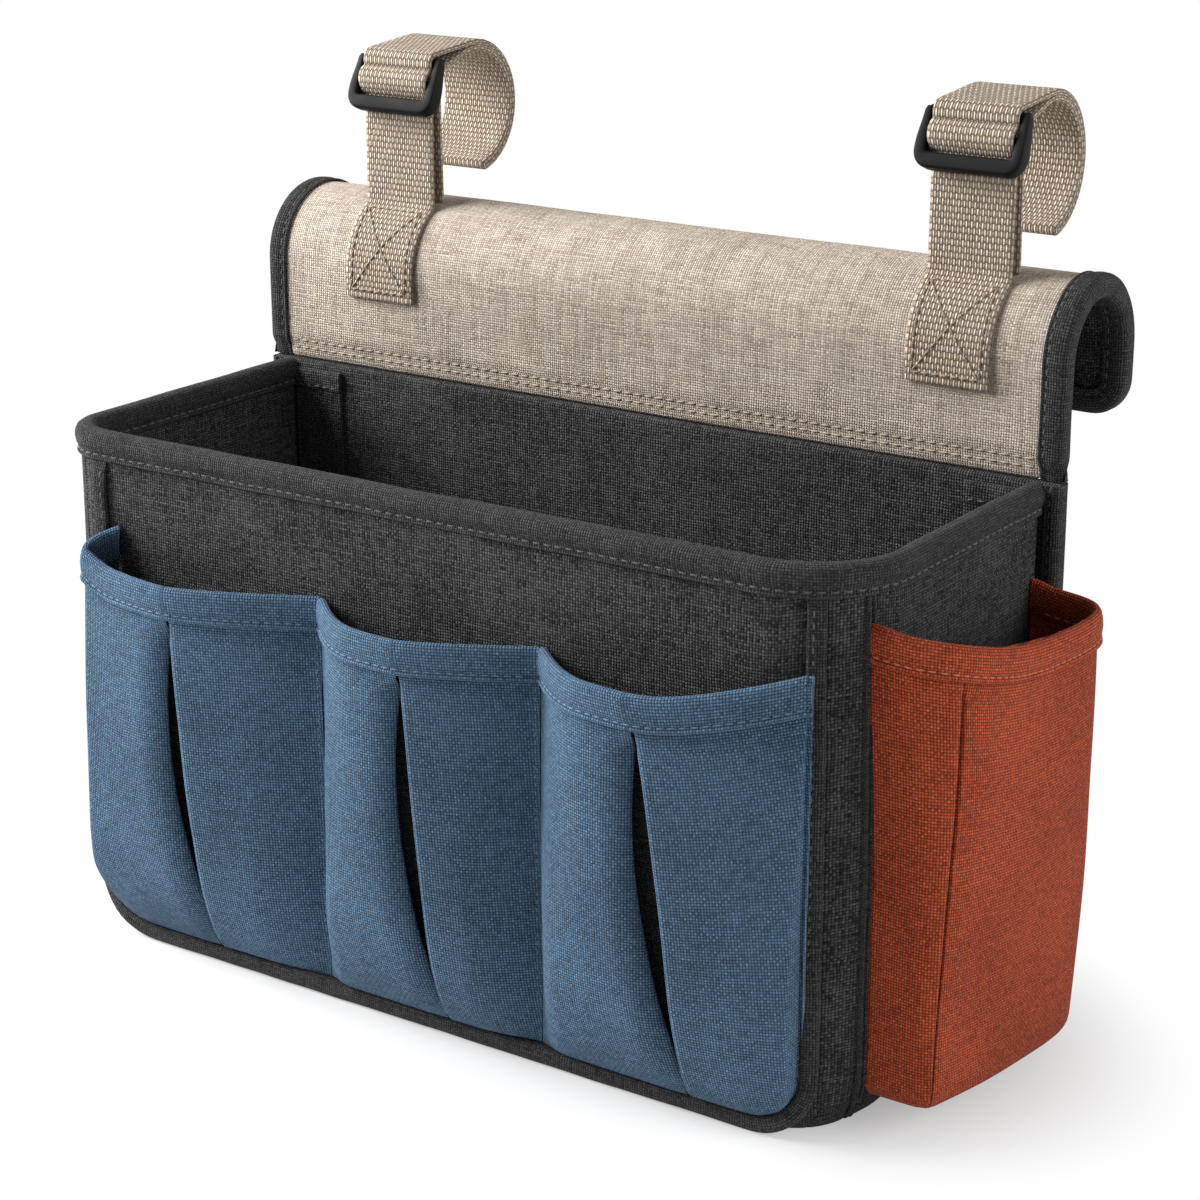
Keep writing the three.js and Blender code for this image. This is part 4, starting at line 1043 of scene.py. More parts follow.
def pleatColumns(pleatX, gap, tight):  # x, share of the pleat's depth, and share of the fold's lift
    lip = pleatX - gap
    folded = [(lip + past, deep, 0.0) for past, deep in pleatIn]
    floor = ramp(lip + pleatIn[-1][0], pleatX + pleatOut[0][0], pocketColumns["floor"])
    folded += [(x, 1.0, 0.0) for x in floor[1:-1]]
    folded += [(pleatX + past, deep, 1 - deep) for past, deep in pleatOut]
    return [
        (mix(pleatX + 0.06 * (i - len(folded)), x, tight), deep * tight, lift * tight)
        for i, (x, deep, lift) in enumerate(folded)]


def pocketRow(pocket, t):  # outer face of the cloth along one row: x, distance from the wall, height
    foot = pockets["foot"]
    width = pocket["x1"] - pocket["x0"]
    rise = pocketTall * t
    share = clamp(t)
    leftRound, rightRound = pockets["endRounds"]
    x0, x1 = pocket["x0"], pocket["x1"]
    if pocket["openLeft"]:
        x0 += drawIn(leftRound, rise) + mix(pockets["endFoot"], pockets["endTop"], share)
    if pocket["openRight"]:
        x1 -= drawIn(rightRound, rise)
    pleatTop, pleatFoot = pocket["pleat"]
    pleatX = pocket["x0"] + width * mix(pleatFoot, pleatTop, share ** pockets["pleatBow"])
    below = clamp((pockets["pleatStart"] - share) / pockets["pleatStart"])
    gap = pockets["pleatGap"] * math.sin(math.pi * below ** pockets["pleatSkew"])
    tight = ease(below / pockets["pleatRun"])

    def reach(x):  # the rounded lower corners are sewn down as the foot is
        deep = rise
        for corner, past, free in (
            (leftRound, x - pocket["x0"], pocket["openLeft"]),
            (rightRound, pocket["x1"] - x, pocket["openRight"]),
        ):
            if free and past < corner and rise < corner:
                held = max(corner - math.hypot(corner - past, corner - rise), 0.0)
                deep = min(deep, mix(held, rise, ease(rise / corner)))
        return standOff(pocket, x, share, deep)

    room = reach(pleatX)
    rolled = min(1.0, pockets["fallLeast"] + gap / pockets["fallGap"])  # a narrow gap rolls in less
    fall = min(pockets["fall"] * rolled, pockets["fallShare"] * room) * tight
    deepest = max(min(pockets["pleatDepth"], room - pockets["pleatFloor"]), fall)
    lip = mix(pleatX - pockets["lipGap"], pleatX - gap, tight)
    turnX = lip - pockets["barrel"]
    begin = x0 + pockets["endRun"] if pocket["openLeft"] else x0
    line = [(x, reach(x)) for x in ramp(begin, turnX, pocketColumns["left"])]
    for s in ramp(0, 1, pocketColumns["barrel"])[1:]:
        x = mix(turnX, lip, s)
        bend = mix(s * s, 1 - math.sqrt(1 - 0.98 * s * s), pockets["round"])
        line.append((x, reach(x) - fall * bend))
    belly = pockets["lift"] * math.sin(math.pi * share) * tight
    for x, deep, lift in pleatColumns(pleatX, gap, tight):
        start = fall * (1 - lift)
        line.append((x, reach(x) - mix(start, deepest, deep) + belly * lift))
    for s in ramp(0, 1, pocketColumns["right"])[1:]:
        x = mix(pleatX, x1, s ** pockets["crowd"])
        line.append((x, reach(x) + belly * math.exp(-((x - pleatX) / pockets["liftRun"]) ** 2)))
    climbs = [0.0] * len(line)
    if pocket["openLeft"]:  # side of the pocket, from the wall out to its rounded corner
        stand, count = line[0][1], pocketColumns["side"]
        hull = [(x0 + pockets["endLean"] * share, 0.6), (x0 - 0.4, 0.5 * stand), (x0 - 1.2, stand), line[0]]
        line = bezier(hull, count)[:-1] + line
        climbs = [pockets["endClimb"] * (1 - s) ** 2 for s in ramp(0, 1, count)[:-1]] + climbs
    if pocket["openRight"]:  # bellows fold beside the corner strip
        stand = max(line[-1][1] - 1.3, 0.0)
        line += [(x1 + past, 0.7 + 0.6 * clamp(1 - past / 2) + stand * deep) for past, deep in bellows]
        climbs += [0.0] * len(bellows)
    return [
        (x, out, mix(foot, pocketTop(pocket, x) + climb, t)) for (x, out), climb in zip(line, climbs)]


def pocketRing(outer, scale=1.0):
    cloth = pockets["cloth"]
    line = [(x, max(out * scale, 0.5)) for x, out, z in outer]
    ways = sideways(line)
    face = [(x, pockets["plane"] - out, z) for (x, out), (_, _, z) in zip(line, outer)]
    hidden = []
    for (x, out), (nx, nOut), (_, _, z) in zip(line, ways, outer):
        within = max(out - nOut * cloth, 0.15)
        hidden.append((x - nx * cloth, pockets["plane"] - within, max(z, pockets["foot"] + cloth)))
    return face + hidden[::-1]


def pleatColumn(pocket):  # where the pleat's floor starts along a row
    side = pocketColumns["side"] if pocket["openLeft"] else 0
    return side + pocketColumns["left"] + pocketColumns["barrel"] + len(pleatIn)


def frontPocket(name, order):
    x0 = order * pocketPitch - pocketSpan / 2
    pocket = dict(
        x0=x0, x1=x0 + pocketPitch - pockets["gap"], openLeft=order == 0, openRight=order == 2,
        pleat=pockets["pleats"][order])
    if order < 2:  # the left pocket is the widest
        pocket["x1" if order == 0 else "x0"] += pockets["shift"]
    pocket["x0"] -= pockets["overlap"] if order > 0 else 0  # neighbours are sewn down side by side
    pocket["x1"] += pockets["overlap"] if order < 2 else 0
    rows = [0.0, 0.004, 0.01, 0.02, 0.034, 0.05, 0.068, 0.09] + ramp(0.115, 1.0, 40)
    rings = [pocketRing(pocketRow(pocket, 0.0), scale) for scale in (0.08, 0.45, 0.8)]
    rings += [pocketRing(pocketRow(pocket, t)) for t in rows]
    fold = pleatColumn(pocket) + pocketColumns["floor"] - 1 + len(pleatOut)
    node = name.removesuffix("_cloth")
    piece = loftPiece(name, rings, blue, "caddy", [node], crease=70, anchor=fold)
    rumple(piece, *pockets["crumple"], pockets["seed"] + order)
    return piece, pocket


# Painted shade sheet: a dark tape strip in each pleat stands in for the shade deep in the pleat
pleatShade = dict(end=0.02, out=0.9, thick=0.6)


def pleatShadeSheet(name, pocket, seed):  # painted shade: dark tape laid on the pleat's floor stands in for the deep shade inside the pleat
    first = pleatColumn(pocket)
    rings = []
    for t in ramp(pleatShade["end"], pockets["pleatStart"] - pleatShade["end"], 40):
        row = pocketRow(pocket, t)[first:first + pocketColumns["floor"] + 1]
        face = [(x, pockets["plane"] - out - pleatShade["out"], z) for x, out, z in row]
        rings.append(face + [(x, y + pleatShade["thick"], z) for x, y, z in reversed(face)])
    piece = loftPiece(name, rings, tape, "caddy", [])
    rumple(piece, *pockets["crumple"], seed)
    return piece


# Folded hem: outward from the pocket's face, and height from its top edge
hemSection = (
    (0.25, -10.3), (1.2, -10.6), (1.75, -10.2), (1.75, -9.5), (1.15, -8.8), (1.1, -8.2), (1.5, -7.2),
    (1.75, -4.5), (1.6, -2.0), (1.2, 0.0), (0.5, 1.1), (-0.5, 1.4), (-1.5, 1.1), (-2.2, 0.0),
    (-2.6, -2.0), (-2.6, -6.0), (-2.4, -10.0), (-2.0, -10.4), (-1.6, -10.0), (-1.5, -1.2), (-0.8, 0.0),
    (0.0, 0.0), (0.25, -1.2))
hemStitch = dict(length=2.5, pitch=3.7, radius=0.32)
hemFaces = ((1, 1.15), (-1, -2.45))  # side of the cloth, and where its stitches lie
hemStitchAt = -8.45  # from the top edge


def hemLine(pocket, out, dz):  # a line on the hem: points and outward directions
    row = pocketRow(pocket, 1 + dz / pocketTall)
    line = [(x, stand) for x, stand, z in row]
    found = []
    for (x, stand, z), (nx, nOut) in zip(row, sideways(line)):
        stand = max(stand + nOut * out, 0.1)
        found.append((Vector((x + nx * out, pockets["plane"] - stand, z)), Vector((nx, -nOut, 0))))
    return found


def pocketHem(name, pocket, seed):
    lines = [hemLine(pocket, out, dz) for out, dz in hemSection]
    rings = [[tuple(line[i][0]) for line in lines] for i in range(len(lines[0]))]
    piece = loftPiece(name + "_fold", rings, blue, "caddy", [name])
    rumple(piece, *pockets["crumple"], seed)
    rows = []
    for side, out in hemFaces:
        line = hemLine(pocket, out, hemStitchAt)[2:-2]
        points = [rumpled(p, *pockets["crumple"], seed) for p, n in line]
        rows.append((points, [n * side for p, n in line]))
    sewRow(name + "_stitches", rows, blueThread, "caddy", hemStitch)


def seamStitches(pocket, seed):  # row beside the seam to the pocket on the right
    x = pocket["x1"] - pockets["seamIn"]
    points = []
    for z in ramp(*pockets["seamSpan"], 40):
        rise = z - pockets["foot"]
        out = standOff(pocket, x, rise / pocketTall, rise) + pockets["seamOut"]
        points.append(rumpled(Vector((x, pockets["plane"] - out, z)), *pockets["crumple"], seed))
    return points, [Vector((0.3, -1, 0)).normalized()] * len(points)


seamRows = []
for order, side in enumerate(("left", "middle", "right")):
    seed = pockets["seed"] + order
    piece, pocket = frontPocket(side + "_pocket_cloth", order)
    # lays the painted shade sheet in the pleat
    pleatShadeSheet(side + "_pocket_pleat_shade", pocket, seed)
    pocketHem(side + "_pocket_hem", pocket, seed)
    if order < 2:
        seamRows.append(seamStitches(pocket, seed))
sewRow("pocket_seam_stitches", seamRows, blueThread, "caddy", pockets["seamStitch"])
print("front pockets pleated")

# Side pocket: a soft bag sewn to the right wall, with a seam down its front corner
bag = dict(
    wall=165, seat=-46.18, rear=60.4, depth=31, frontDepth=25, rearRun=20, slope=(10.4, 13), foot=10.2,
    rim=170, round=9, footShare=0.9, cloth=1.2, least=0.35, sag=1.8, softRun=20, seam=1.5, seamWidth=1.1,
    seamTop=8, seamFade=10, ridge=0.4, ridgeAt=3, ridgeWidth=1.2, ear=2.2, earRun=7, earFade=40, dip=5,
    dipRun=150, sewnRun=7, tight=(19, 6), loose=(8, 26), hemThin=4, frontColumns=9, hemInside=-2.4,
    stitchRadius=0.4, crumple=(40, 0.6, 18))
bagMiddle = (bag["seat"] + bag["rear"]) / 2
bagHalf = (bag["rear"] - bag["seat"]) / 2
bagCorner = (
    0.1, 0.2, 0.3, 0.4, 0.48, 0.54, 0.58, 0.6, 0.611, 0.62, 0.629, 0.64, 0.66, 0.7, 0.76, 0.84, 0.92, 1.0)
bagSeamAt = bag["frontColumns"] + bagCorner.index(0.62)  # column of the seam on the front corner


def bagLine(climb):  # outline from above at a share of the height: along the wall, and away from it
    seat, rear, depth, least = bag["seat"], bag["rear"], bag["depth"], bag["least"]
    third, turnY = bagHalf / 3, rear - bag["rearRun"]
    soft = ease(climb) ** 1.5
    start, past = (mix(a, b, soft) for a, b in zip(bag["tight"], bag["loose"]))  # looser to the rim
    face = [
        (seat + 4, bag["frontDepth"] + 1), (bagMiddle - third, depth), (bagMiddle + third, depth + 1),
        (turnY, depth)]
    low, high = 0.0, 1.0
    for _ in range(24):  # where the corner's curve meets the face
        middle = (low + high) / 2
        if bezierAt(face, middle)[0] < seat + past:
            low = middle
        else:
            high = middle
    joint, ahead = bezierAt(face, low), bezierAt(face, low + 0.02)
    slope = (ahead[1] - joint[1]) / (ahead[0] - joint[0])
    corner = [(seat, start), (seat, max(joint[1] - slope * past, start + 0.5)), joint]
    line = [(seat, d) for d in ramp(least, start, bag["frontColumns"])]
    line += [bezierAt(corner, t) for t in bagCorner]
    line += [bezierAt(face, t) for t in ramp(low, 1, 26)[1:]]
    return line + bezier([(turnY, depth), (rear - 4, depth - 1), (rear, depth - 10), (rear, least)], 22)[1:]


def wallBack(y, z):  # how far the right wall stands back from its flat, round the corner and at the foot
    amount, low, climb = box["loosen"][1]
    radius = box["corner"] + amount * ease((z - low) / climb)
    past = clamp((box["front"] + radius - y) / radius)
    return radius - radius * math.sqrt(1 - past ** 2) + footInset(math.asin(past) * 2 / math.pi, z)


def bagPoint(y, d, z):  # slopes and sags the bag, and sews its edges to the wall
    along = (y - bag["seat"]) / (bag["rear"] - bag["seat"])
    rise = z - bag["foot"]
    slope = mix(*bag["slope"], clamp(rise / (bag["rim"] - bag["foot"])))
    ear = bag["ear"] * math.exp(-(d / bag["earRun"]) ** 2)
    ear *= ease((z - bag["rim"] + bag["earFade"]) / bag["earFade"])
    dip = bag["dip"] * math.sin(math.pi * clamp(along)) * clamp(rise / bag["dipRun"]) ** 2
    dip *= clamp(d / bag["softRun"])
    height = z - slope * along + ear - dip
    sewn = wallBack(y, height) * math.exp(-(d / bag["sewnRun"]) ** 2)
    return (bag["wall"] + d - sewn, y, height)


def bagShape(z, offset=0.0, drawn=0.0):  # outline at a height, moved outward and drawn in at the foot
    climb = clamp((z - bag["foot"]) / (bag["rim"] - bag["foot"]))
    share = mix(bag["footShare"], 1.0, climb)
    flat = bagLine(climb)
    line = []
    for i, ((y, d), (ny, nd)) in enumerate(zip(flat, sideways(flat))):
        sag = bag["sag"] * math.sin(math.pi * climb ** 0.8) * clamp(d / bag["softRun"])
        sewn = clamp((bag["rim"] - bag["seamTop"] - z) / bag["seamFade"])
        groove = bag["seam"] * math.exp(-((i - bagSeamAt) / bag["seamWidth"]) ** 2)
        ridge = bag["ridge"] * math.exp(-((abs(i - bagSeamAt) - bag["ridgeAt"]) / bag["ridgeWidth"]) ** 2)
        thick = offset
        if offset > 0:  # the hem thins out at the wall
            thick *= clamp(0.15 + d / bag["hemThin"])
        out = thick + sag + (ridge - groove) * sewn
        spread = 1 - drawn / bagHalf
        y2 = bagMiddle + (y - bagMiddle) * spread
        d2 = d * (1 - drawn / bag["depth"]) * share
        line.append((y2 + ny * out, max(d2 + nd * out, bag["least"])))
    return line


def bagRing(z, drawn=0.0, scale=1.0):
    face = bagShape(z, 0.0, drawn)
    hidden = bagShape(z, -bag["cloth"], drawn)
    within = max(z, bag["foot"] + bag["cloth"])
    least = bag["least"] if scale == 1 else -2.0  # the floor runs on into the wall's foot

    def shrink(y, d, height):
        return bagPoint(mix(bagMiddle, y, scale), max(d * scale, least), height)

    return [shrink(y, d, z) for y, d in face] + [shrink(y, d, within) for y, d in reversed(hidden)]


def sidePocket():
    rings = [bagRing(bag["foot"], bag["round"], scale) for scale in (0.05, 0.4, 0.75, 0.93)]
    for turn in ramp(0, 90, 8):
        rise = bag["round"] * (1 - math.cos(math.radians(turn)))
        rings.append(bagRing(bag["foot"] + rise, drawIn(bag["round"], rise)))
    rings += [bagRing(z) for z in ramp(bag["foot"] + bag["round"], bag["rim"], 40)[1:]]
    piece = loftPiece("side_pocket_cloth", rings, rust, "caddy", ["side_pocket"], crease=70)
    rumple(piece, *bag["crumple"])
    return piece


def sideHem():
    lines = [bagShape(bag["rim"] + dz, out) for out, dz in hemSection]
    rings = []
    for i in range(len(lines[0])):
        rings.append([
            bagPoint(*line[i], bag["rim"] + dz) for line, (out, dz) in zip(lines, hemSection)])
    piece = loftPiece("side_pocket_hem_fold", rings, rust, "caddy", ["side_pocket_hem"])
    rumple(piece, *bag["crumple"])
    rows = []
    height = bag["rim"] + hemStitchAt
    for side, out in (hemFaces[0], (-1, bag["hemInside"])):
        line = bagShape(height, out)
        points = [rumpled(Vector(bagPoint(y, d, height)), *bag["crumple"]) for y, d in line]
        normals = [Vector((nd, ny, 0)) * side for ny, nd in sideways(line)]
        rows.append((points[2:-2], normals[2:-2]))
    look = dict(hemStitch, radius=bag["stitchRadius"])
    sewRow("side_pocket_hem_stitches", rows, rustThread, "caddy", look)


bagCloth = sidePocket()
sideHem()
print("side pocket sewn")

# Straps: sewn patch and riser on the flap, tail through the buckle, and the curled hook
strap = dict(
    width=32, thick=1.6, edge=0.7, bevel=0.2, bevelShare=0.72, step=1.6, seat=0.1, lift=56, bend=5,
    patchFoot=222, riserTop=294.5, freeFrom=263, tailY=83.5, tailFoot=258.5, fold=7, foldRun=1.6,
    foldThick=0.35, roll=1.7, rollDrop=0.6, stitch=dict(length=2.7, pitch=3.4, radius=0.42), stitchLift=0.1,
    boxInset=3.2, boxTop=36)
buckle = dict(
    foot=(74.19, 294.8), lean=22, centreRise=9, topRise=17.5, bar=2, half=18.2, rail=4.2, bottom=5.6,
    taper=0.62, taperFrom=5, front=4.0, rear=2.2, turn=3.6, railTop=18.6, square=0.36, tip=1.6,
    tipWide=0.55, tipDeep=0.7)
hook = dict(reach=25, drop=19, outer=25.8, inner=21.5, ply=2.05, end=-76, barGap=0.55)
straps = dict(left=-116, right=128)  # middles of the two straps


def leaned(rise):  # a place up the buckle's slope
    turn = math.radians(buckle["lean"])
    return buckle["foot"][0] + rise * math.sin(turn), buckle["foot"][1] + rise * math.cos(turn)


def ribbonRings(line, middleX, thick, closed=False, extra=None):  # extra: more on the outer face, by point
    half, t = strap["width"] / 2, thick / 2
    across = ramp(-half + strap["edge"], half - strap["edge"], 16)
    bevel = (half - strap["bevel"], strap["bevelShare"] * t)
    edge = [bevel, (half, 0.0), (bevel[0], -bevel[1])]
    section = [(x, t) for x in across] + edge + [(x, -t) for x in reversed(across)]
    section += [(-x, -n) for x, n in edge]
    if closed:
        ways = sideways(line[-1:] + line + line[:1])[1:-1]
    else:
        ways = sideways(line)
    rings = []
    for i, ((y, z), (ny, nz)) in enumerate(zip(line, ways)):
        more = extra[i] if extra else 0.0
        thickened = [(x, n + more if n > 0 else n) for x, n in section]
        rings.append([(middleX + x, y + ny * n, z + nz * n) for x, n in thickened])
    return rings


def spaced(line, step):  # the same line with points at even distances
    runs = lengths([(*p, 0) for p in line])
    count = max(round(runs[-1] / step), 2)
    found = [pathAt([(*p, 0) for p in line], runs, run) for run in ramp(0, runs[-1], count)]
    return [(p.x, p.y) for p in found]


def riserLine():
    seat = strap["seat"] + strap["thick"] / 2
    onCrown = flap["radius"] + seat
    turn = math.radians(strap["lift"])
    bendAt = (
        crownY - (onCrown + strap["bend"]) * math.cos(turn),
        flap["crownZ"] + (onCrown + strap["bend"]) * math.sin(turn))
    line = [(flap["front"] - seat, z) for z in ramp(strap["patchFoot"], flap["crownZ"], 6)[:-1]]
    line += arc((crownY, flap["crownZ"]), onCrown, 180, 180 - strap["lift"], 20)
    line += arc(bendAt, strap["bend"], -strap["lift"], 0, 8)[1:]
    return line + [(line[-1][0], z) for z in ramp(line[-1][1], strap["riserTop"], 12)[1:]]


def tangent(point, centre, radius, sign):
    dy, dz = point[0] - centre[0], point[1] - centre[1]
    return math.degrees(math.atan2(dz, dy) + sign * math.acos(radius / math.hypot(dy, dz)))


def tailLine():
    bar = leaned(buckle["centreRise"] + strap["roll"] - strap["rollDrop"])
    wrap = buckle["bar"] + strap["roll"] + strap["thick"] / 2
    start = (riserLine()[-1][0], buckle["foot"][1])
    end = (strap["tailY"], strap["tailFoot"])
    first = tangent(start, bar, wrap, -1) % 360
    last = tangent(end, bar, wrap, 1) % 360
    return spaced([start] + arc(bar, wrap, first, last, 18) + [end], strap["step"])


def hookLine():
    bar = leaned(buckle["topRise"])
    curl = (bar[0] + hook["reach"], bar[1] - hook["drop"])
    half = hook["ply"] / 2
    outer, inner = hook["outer"] - half, hook["inner"] + half
    loop = buckle["bar"] + hook["barGap"] + half
    way = math.degrees(math.atan2(-hook["drop"], hook["reach"]))
    far = math.hypot(hook["reach"], hook["drop"])
    upper = way + math.degrees(math.acos((loop - outer) / far))
    lower = way + math.degrees(math.acos((-loop - inner) / far))
    line = arc(curl, outer, hook["end"], upper, 60)
    line += arc(bar, loop, upper, lower + 180, 16)
    line += arc(curl, inner, lower, hook["end"], 60)
    middle, turn = (outer + inner) / 2, math.radians(hook["end"])
    tip = (curl[0] + middle * math.cos(turn), curl[1] + middle * math.sin(turn))
    return line + arc(tip, (outer - inner) / 2, hook["end"] - 180, hook["end"], 8)[1:-1]


def buckleFrame(middleX):
    # U of bottom bar and rails, then two round bars across, leaning with the strap
    half, turn = buckle["half"], buckle["turn"]
    line = [(-half, z) for z in ramp(buckle["railTop"], turn, 10)[:-1]]
    line += arc((turn - half, turn), turn, 180, 270, 8)
    line += [(x, 0.0) for x in ramp(turn - half, half - turn, 14)[1:-1]]
    line += arc((half - turn, turn), turn, 270, 360, 8)
    line += [(half, z) for z in ramp(turn, buckle["railTop"], 10)[1:]]
    ways = sideways(line)
    turns = ramp(0, 2 * math.pi, 24)[:-1]
    lean = math.radians(buckle["lean"])

    def put(x, y, z):
        return (
            middleX + x, buckle["foot"][0] + y * math.cos(lean) + z * math.sin(lean),
            buckle["foot"][1] + z * math.cos(lean) - y * math.sin(lean))

    rings = []
    runs = lengths([(*p, 0) for p in line])
    middle = (buckle["rear"] - buckle["front"]) / 2
    deep = (buckle["rear"] + buckle["front"]) / 2
    taperRun = buckle["railTop"] - buckle["taperFrom"]
    for (x, z), (nx, nz), run in zip(line, ways, runs):
        flat = clamp(abs(nz)) ** 2  # 1 along the bottom bar
        slim = mix(1.0, buckle["taper"], ease((z - buckle["taperFrom"]) / taperRun))
        wide = mix(buckle["rail"], buckle["bottom"], flat) / 2 * slim
        end = min(run, runs[-1] - run)
        close = math.sqrt(clamp(1 - (1 - clamp(end / buckle["tip"])) ** 2, 0.02, 1.0))
        wide *= mix(buckle["tipWide"], 1, close)
        thick = deep * slim * mix(buckle["tipDeep"], 1, close)
        ring = []
        for t in turns:
            a = math.copysign(abs(math.cos(t)) ** buckle["square"], math.cos(t)) * wide
            b = math.copysign(abs(math.sin(t)) ** buckle["square"], math.sin(t)) * thick
            ring.append(put(x + nx * a, middle + b, z + nz * a))
        rings.append(ring)
    bm = bmesh.new()
    addLoft(bm, rings)
    for rise in (buckle["centreRise"], buckle["topRise"]):
        points = [put(x, 0, rise) for x in ramp(-half, half, 16)]
        addLoft(bm, tubeRings(points, buckle["bar"], (0, 1, 0), 20))
    return bm


def foldThick(run):  # the patch's foot is turned under
    return strap["foldThick"] * (1 - ease((run - strap["fold"]) / strap["foldRun"]))


def patchStitches(name, middleX):
    # Box and cross through the patch, on the webbing's outer face
    line = spaced(riserLine(), 1.0)
    ways = sideways(line)
    runs = lengths([(*p, 0) for p in line])
    half = strap["width"] / 2 - strap["boxInset"]
    low, high = strap["boxInset"], strap["boxTop"]

    def spot(x, run):
        p = pathAt([(*q, 0) for q in line], runs, run)
        n = pathAt([(*q, 0) for q in ways], runs, run)
        lift = strap["thick"] / 2 + strap["stitchLift"] + foldThick(run)
        return Vector((middleX + x, p.x + n.x * lift, p.y + n.y * lift)), Vector((0, n.x, n.y))

    corners = [(-half, low), (half, low), (half, high), (-half, high)]
    legs = list(zip(corners, corners[1:] + corners[:1]))
    legs += [(corners[0], corners[2]), (corners[1], corners[3])]
    rows = []
    for (xa, ra), (xb, rb) in legs:
        found = [spot(mix(xa, xb, s), mix(ra, rb, s)) for s in ramp(0, 1, 16)]
        rows.append(([p for p, n in found], [n for p, n in found]))
    sewRow(name + "_patch_stitches", rows, boxThread, "flap", strap["stitch"])


def sewStrap(name, middleX):
    line = spaced(riserLine(), strap["step"])
    folded = [foldThick(strap["step"] * i) for i in range(len(line))]
    riser = loftPiece(
        name + "_riser_webbing", ribbonRings(line, middleX, strap["thick"], extra=folded), webbing, None,
        [name + "_strap_riser"])
    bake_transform(riser)
    loftPiece(
        name + "_tail_webbing", ribbonRings(tailLine(), middleX, strap["thick"]), webbing, name + "_slider",
        [name + "_strap_tail"])
    makePiece(
        name + "_buckle_frame", buckleFrame(middleX), plastic, name + "_slider", [name + "_buckle"],
        crease=60)
    loftPiece(
        name + "_hook_webbing", ribbonRings(hookLine(), middleX, hook["ply"], True), webbing,
        name + "_hook", [name + "_hook"], closed=True)
    patchStitches(name, middleX)


for name, middleX in straps.items():
    sewStrap(name, middleX)
print("straps threaded")

# Floor, light and camera
studio = dict(
    floor=(0.84, 0.84, 0.84, 1), floorRough=0.9, floorGleam=0.1, floorSize=6, world=0.165,
    middle=(0.0, 0.01, 0.0), spread=(0.21, 0.125, 1.0), shade=0.38, near=0.8, far=1.22,
    camera=(0.55525, -0.7748, 0.4507), target=(0.072662, -0.064, 0.169435), lens=84.84, sensor=36,
    clip=0.05)
keyLamp = dict(place=(-1.215, -0.49, 0.92), aim=(0.0, 0.0, 0.12), size=1.1, power=53.0)
fillLamp = dict(place=(1.35, 0.3, 0.7), aim=(0.1, 0.0, 0.12), size=0.9, power=10.5)


def seenRays(tree):  # 1 for what the camera sees, directly or in a gloss
    rays = addNode(tree, "ShaderNodeLightPath").outputs
    seen = calc(tree, "MAXIMUM", rays["Is Camera Ray"], rays["Is Glossy Ray"])
    return calc(tree, "MAXIMUM", seen, rays["Is Transmission Ray"])


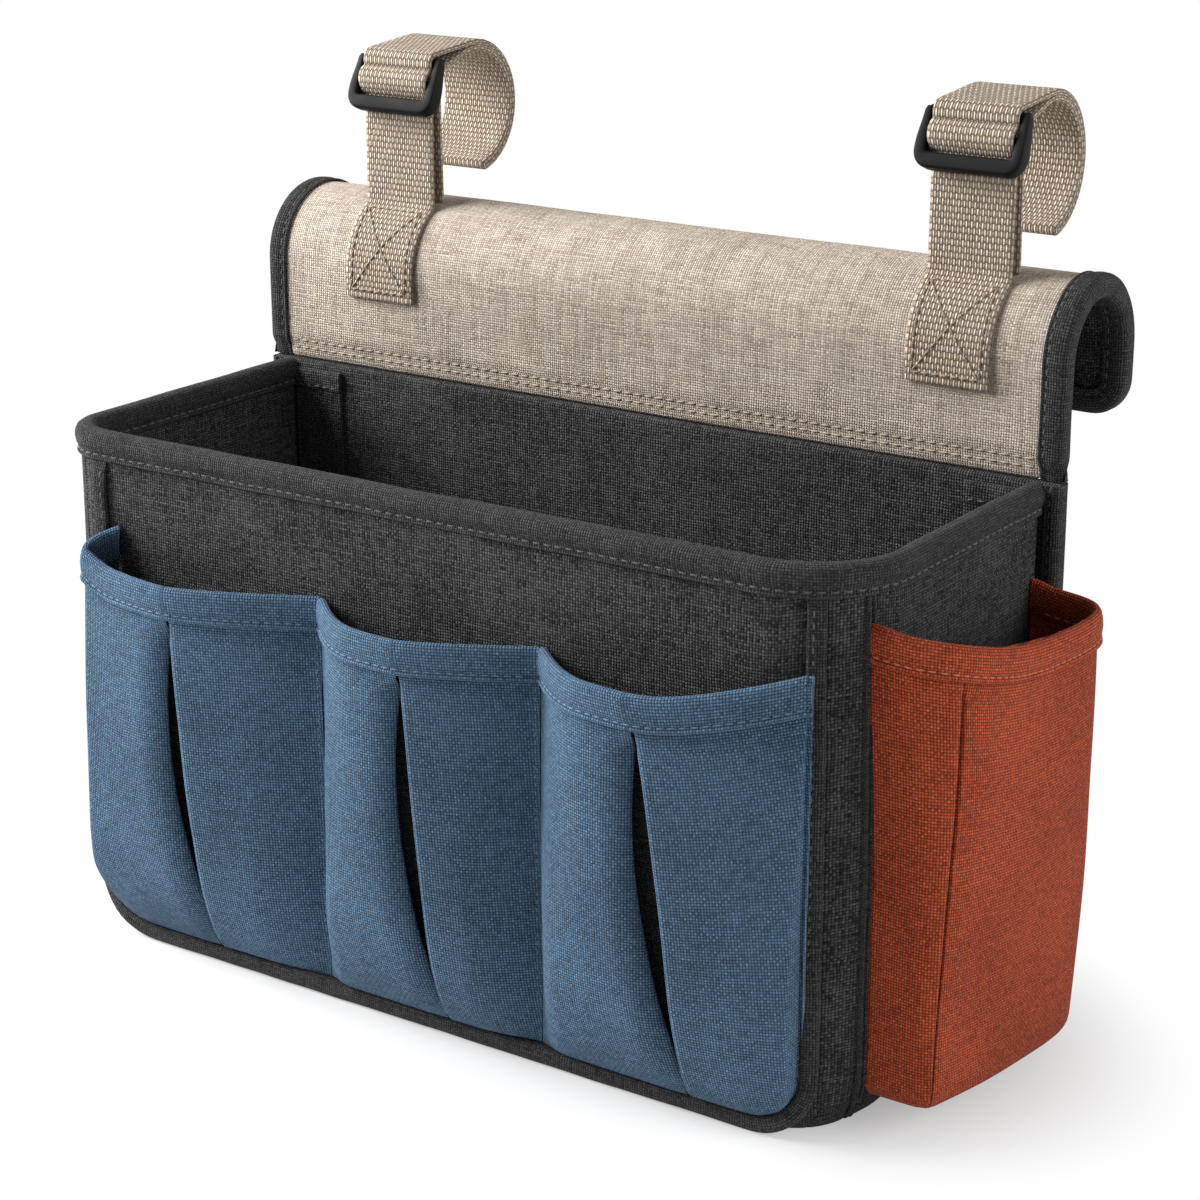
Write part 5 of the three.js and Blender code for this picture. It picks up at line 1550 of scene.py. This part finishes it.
def floorMaterial():
    material, tree, shader = openMaterial("pale_floor")
    shader["Base Color"].default_value = studio["floor"]
    shader["Roughness"].default_value = studio["floorRough"]
    shader["Specular IOR Level"].default_value = studio["floorGleam"]
    seen = seenRays(tree)
    spot = addNode(tree, "ShaderNodeTexCoord").outputs["Object"]
    offset = vectorCalc(tree, "SUBTRACT", spot, studio["middle"])
    away = addNode(tree, "ShaderNodeVectorMath", operation="LENGTH")
    feed(tree, away.inputs[0], vectorCalc(tree, "DIVIDE", offset, studio["spread"]))
    fade = addNode(tree, "ShaderNodeMapRange", interpolation_type="SMOOTHSTEP")
    feed(tree, fade.inputs["Value"], away.outputs["Value"])
    for label, number in (
        ("From Min", studio["near"]), ("From Max", studio["far"]),
        ("To Min", studio["shade"]), ("To Max", 1.0),
    ):
        fade.inputs[label].default_value = number
    white = addNode(tree, "ShaderNodeEmission")
    white.inputs["Strength"].default_value = 1.0
    blendIn = addNode(tree, "ShaderNodeMixShader")
    feed(tree, blendIn.inputs[0], calc(tree, "MULTIPLY", seen, fade.outputs[0]))
    feed(tree, blendIn.inputs[1], tree.nodes["Principled BSDF"].outputs[0])
    feed(tree, blendIn.inputs[2], white.outputs[0])
    feed(tree, tree.nodes["Material Output"].inputs["Surface"], blendIn.outputs[0])
    return material


def layFloor():
    bm = bmesh.new()
    bmesh.ops.create_grid(bm, x_segments=8, y_segments=8, size=studio["floorSize"])
    mesh = bpy.data.meshes.new("floor")
    bm.to_mesh(mesh)
    bm.free()
    mesh.materials.append(floorMaterial())
    floor = bpy.data.objects.new("floor", mesh)
    scene.collection.objects.link(floor)


def hangLamp(name, look):
    lamp = bpy.data.lights.new(name, "AREA")
    lamp.shape = "DISK"
    lamp.size = look["size"]
    lamp.energy = look["power"]
    holder = bpy.data.objects.new(name, lamp)
    holder.location = look["place"]
    way = Vector(look["aim"]) - Vector(look["place"])
    holder.rotation_euler = way.to_track_quat("-Z", "Y").to_euler()
    scene.collection.objects.link(holder)


def lightWorld():
    world = bpy.data.worlds.new("studio")
    world.use_nodes = True
    scene.world = world
    tree = world.node_tree
    sky = tree.nodes["Background"]
    sky.inputs["Color"].default_value = (1, 1, 1, 1)
    feed(tree, sky.inputs["Strength"], stretched(tree, seenRays(tree), 0.0, 1.0, studio["world"], 1.0))


def setCamera():
    lens = bpy.data.cameras.new("photo_camera")
    lens.lens = studio["lens"]
    lens.sensor_width = studio["sensor"]
    lens.clip_start = studio["clip"]
    camera = bpy.data.objects.new("photo_camera", lens)
    camera.location = studio["camera"]
    way = Vector(studio["target"]) - Vector(studio["camera"])
    camera.rotation_euler = way.to_track_quat("-Z", "Y").to_euler()
    scene.collection.objects.link(camera)
    scene.camera = camera


layFloor()
hangLamp("key_lamp", keyLamp)
hangLamp("fill_lamp", fillLamp)
lightWorld()
setCamera()
scene.view_settings.view_transform = "Standard"
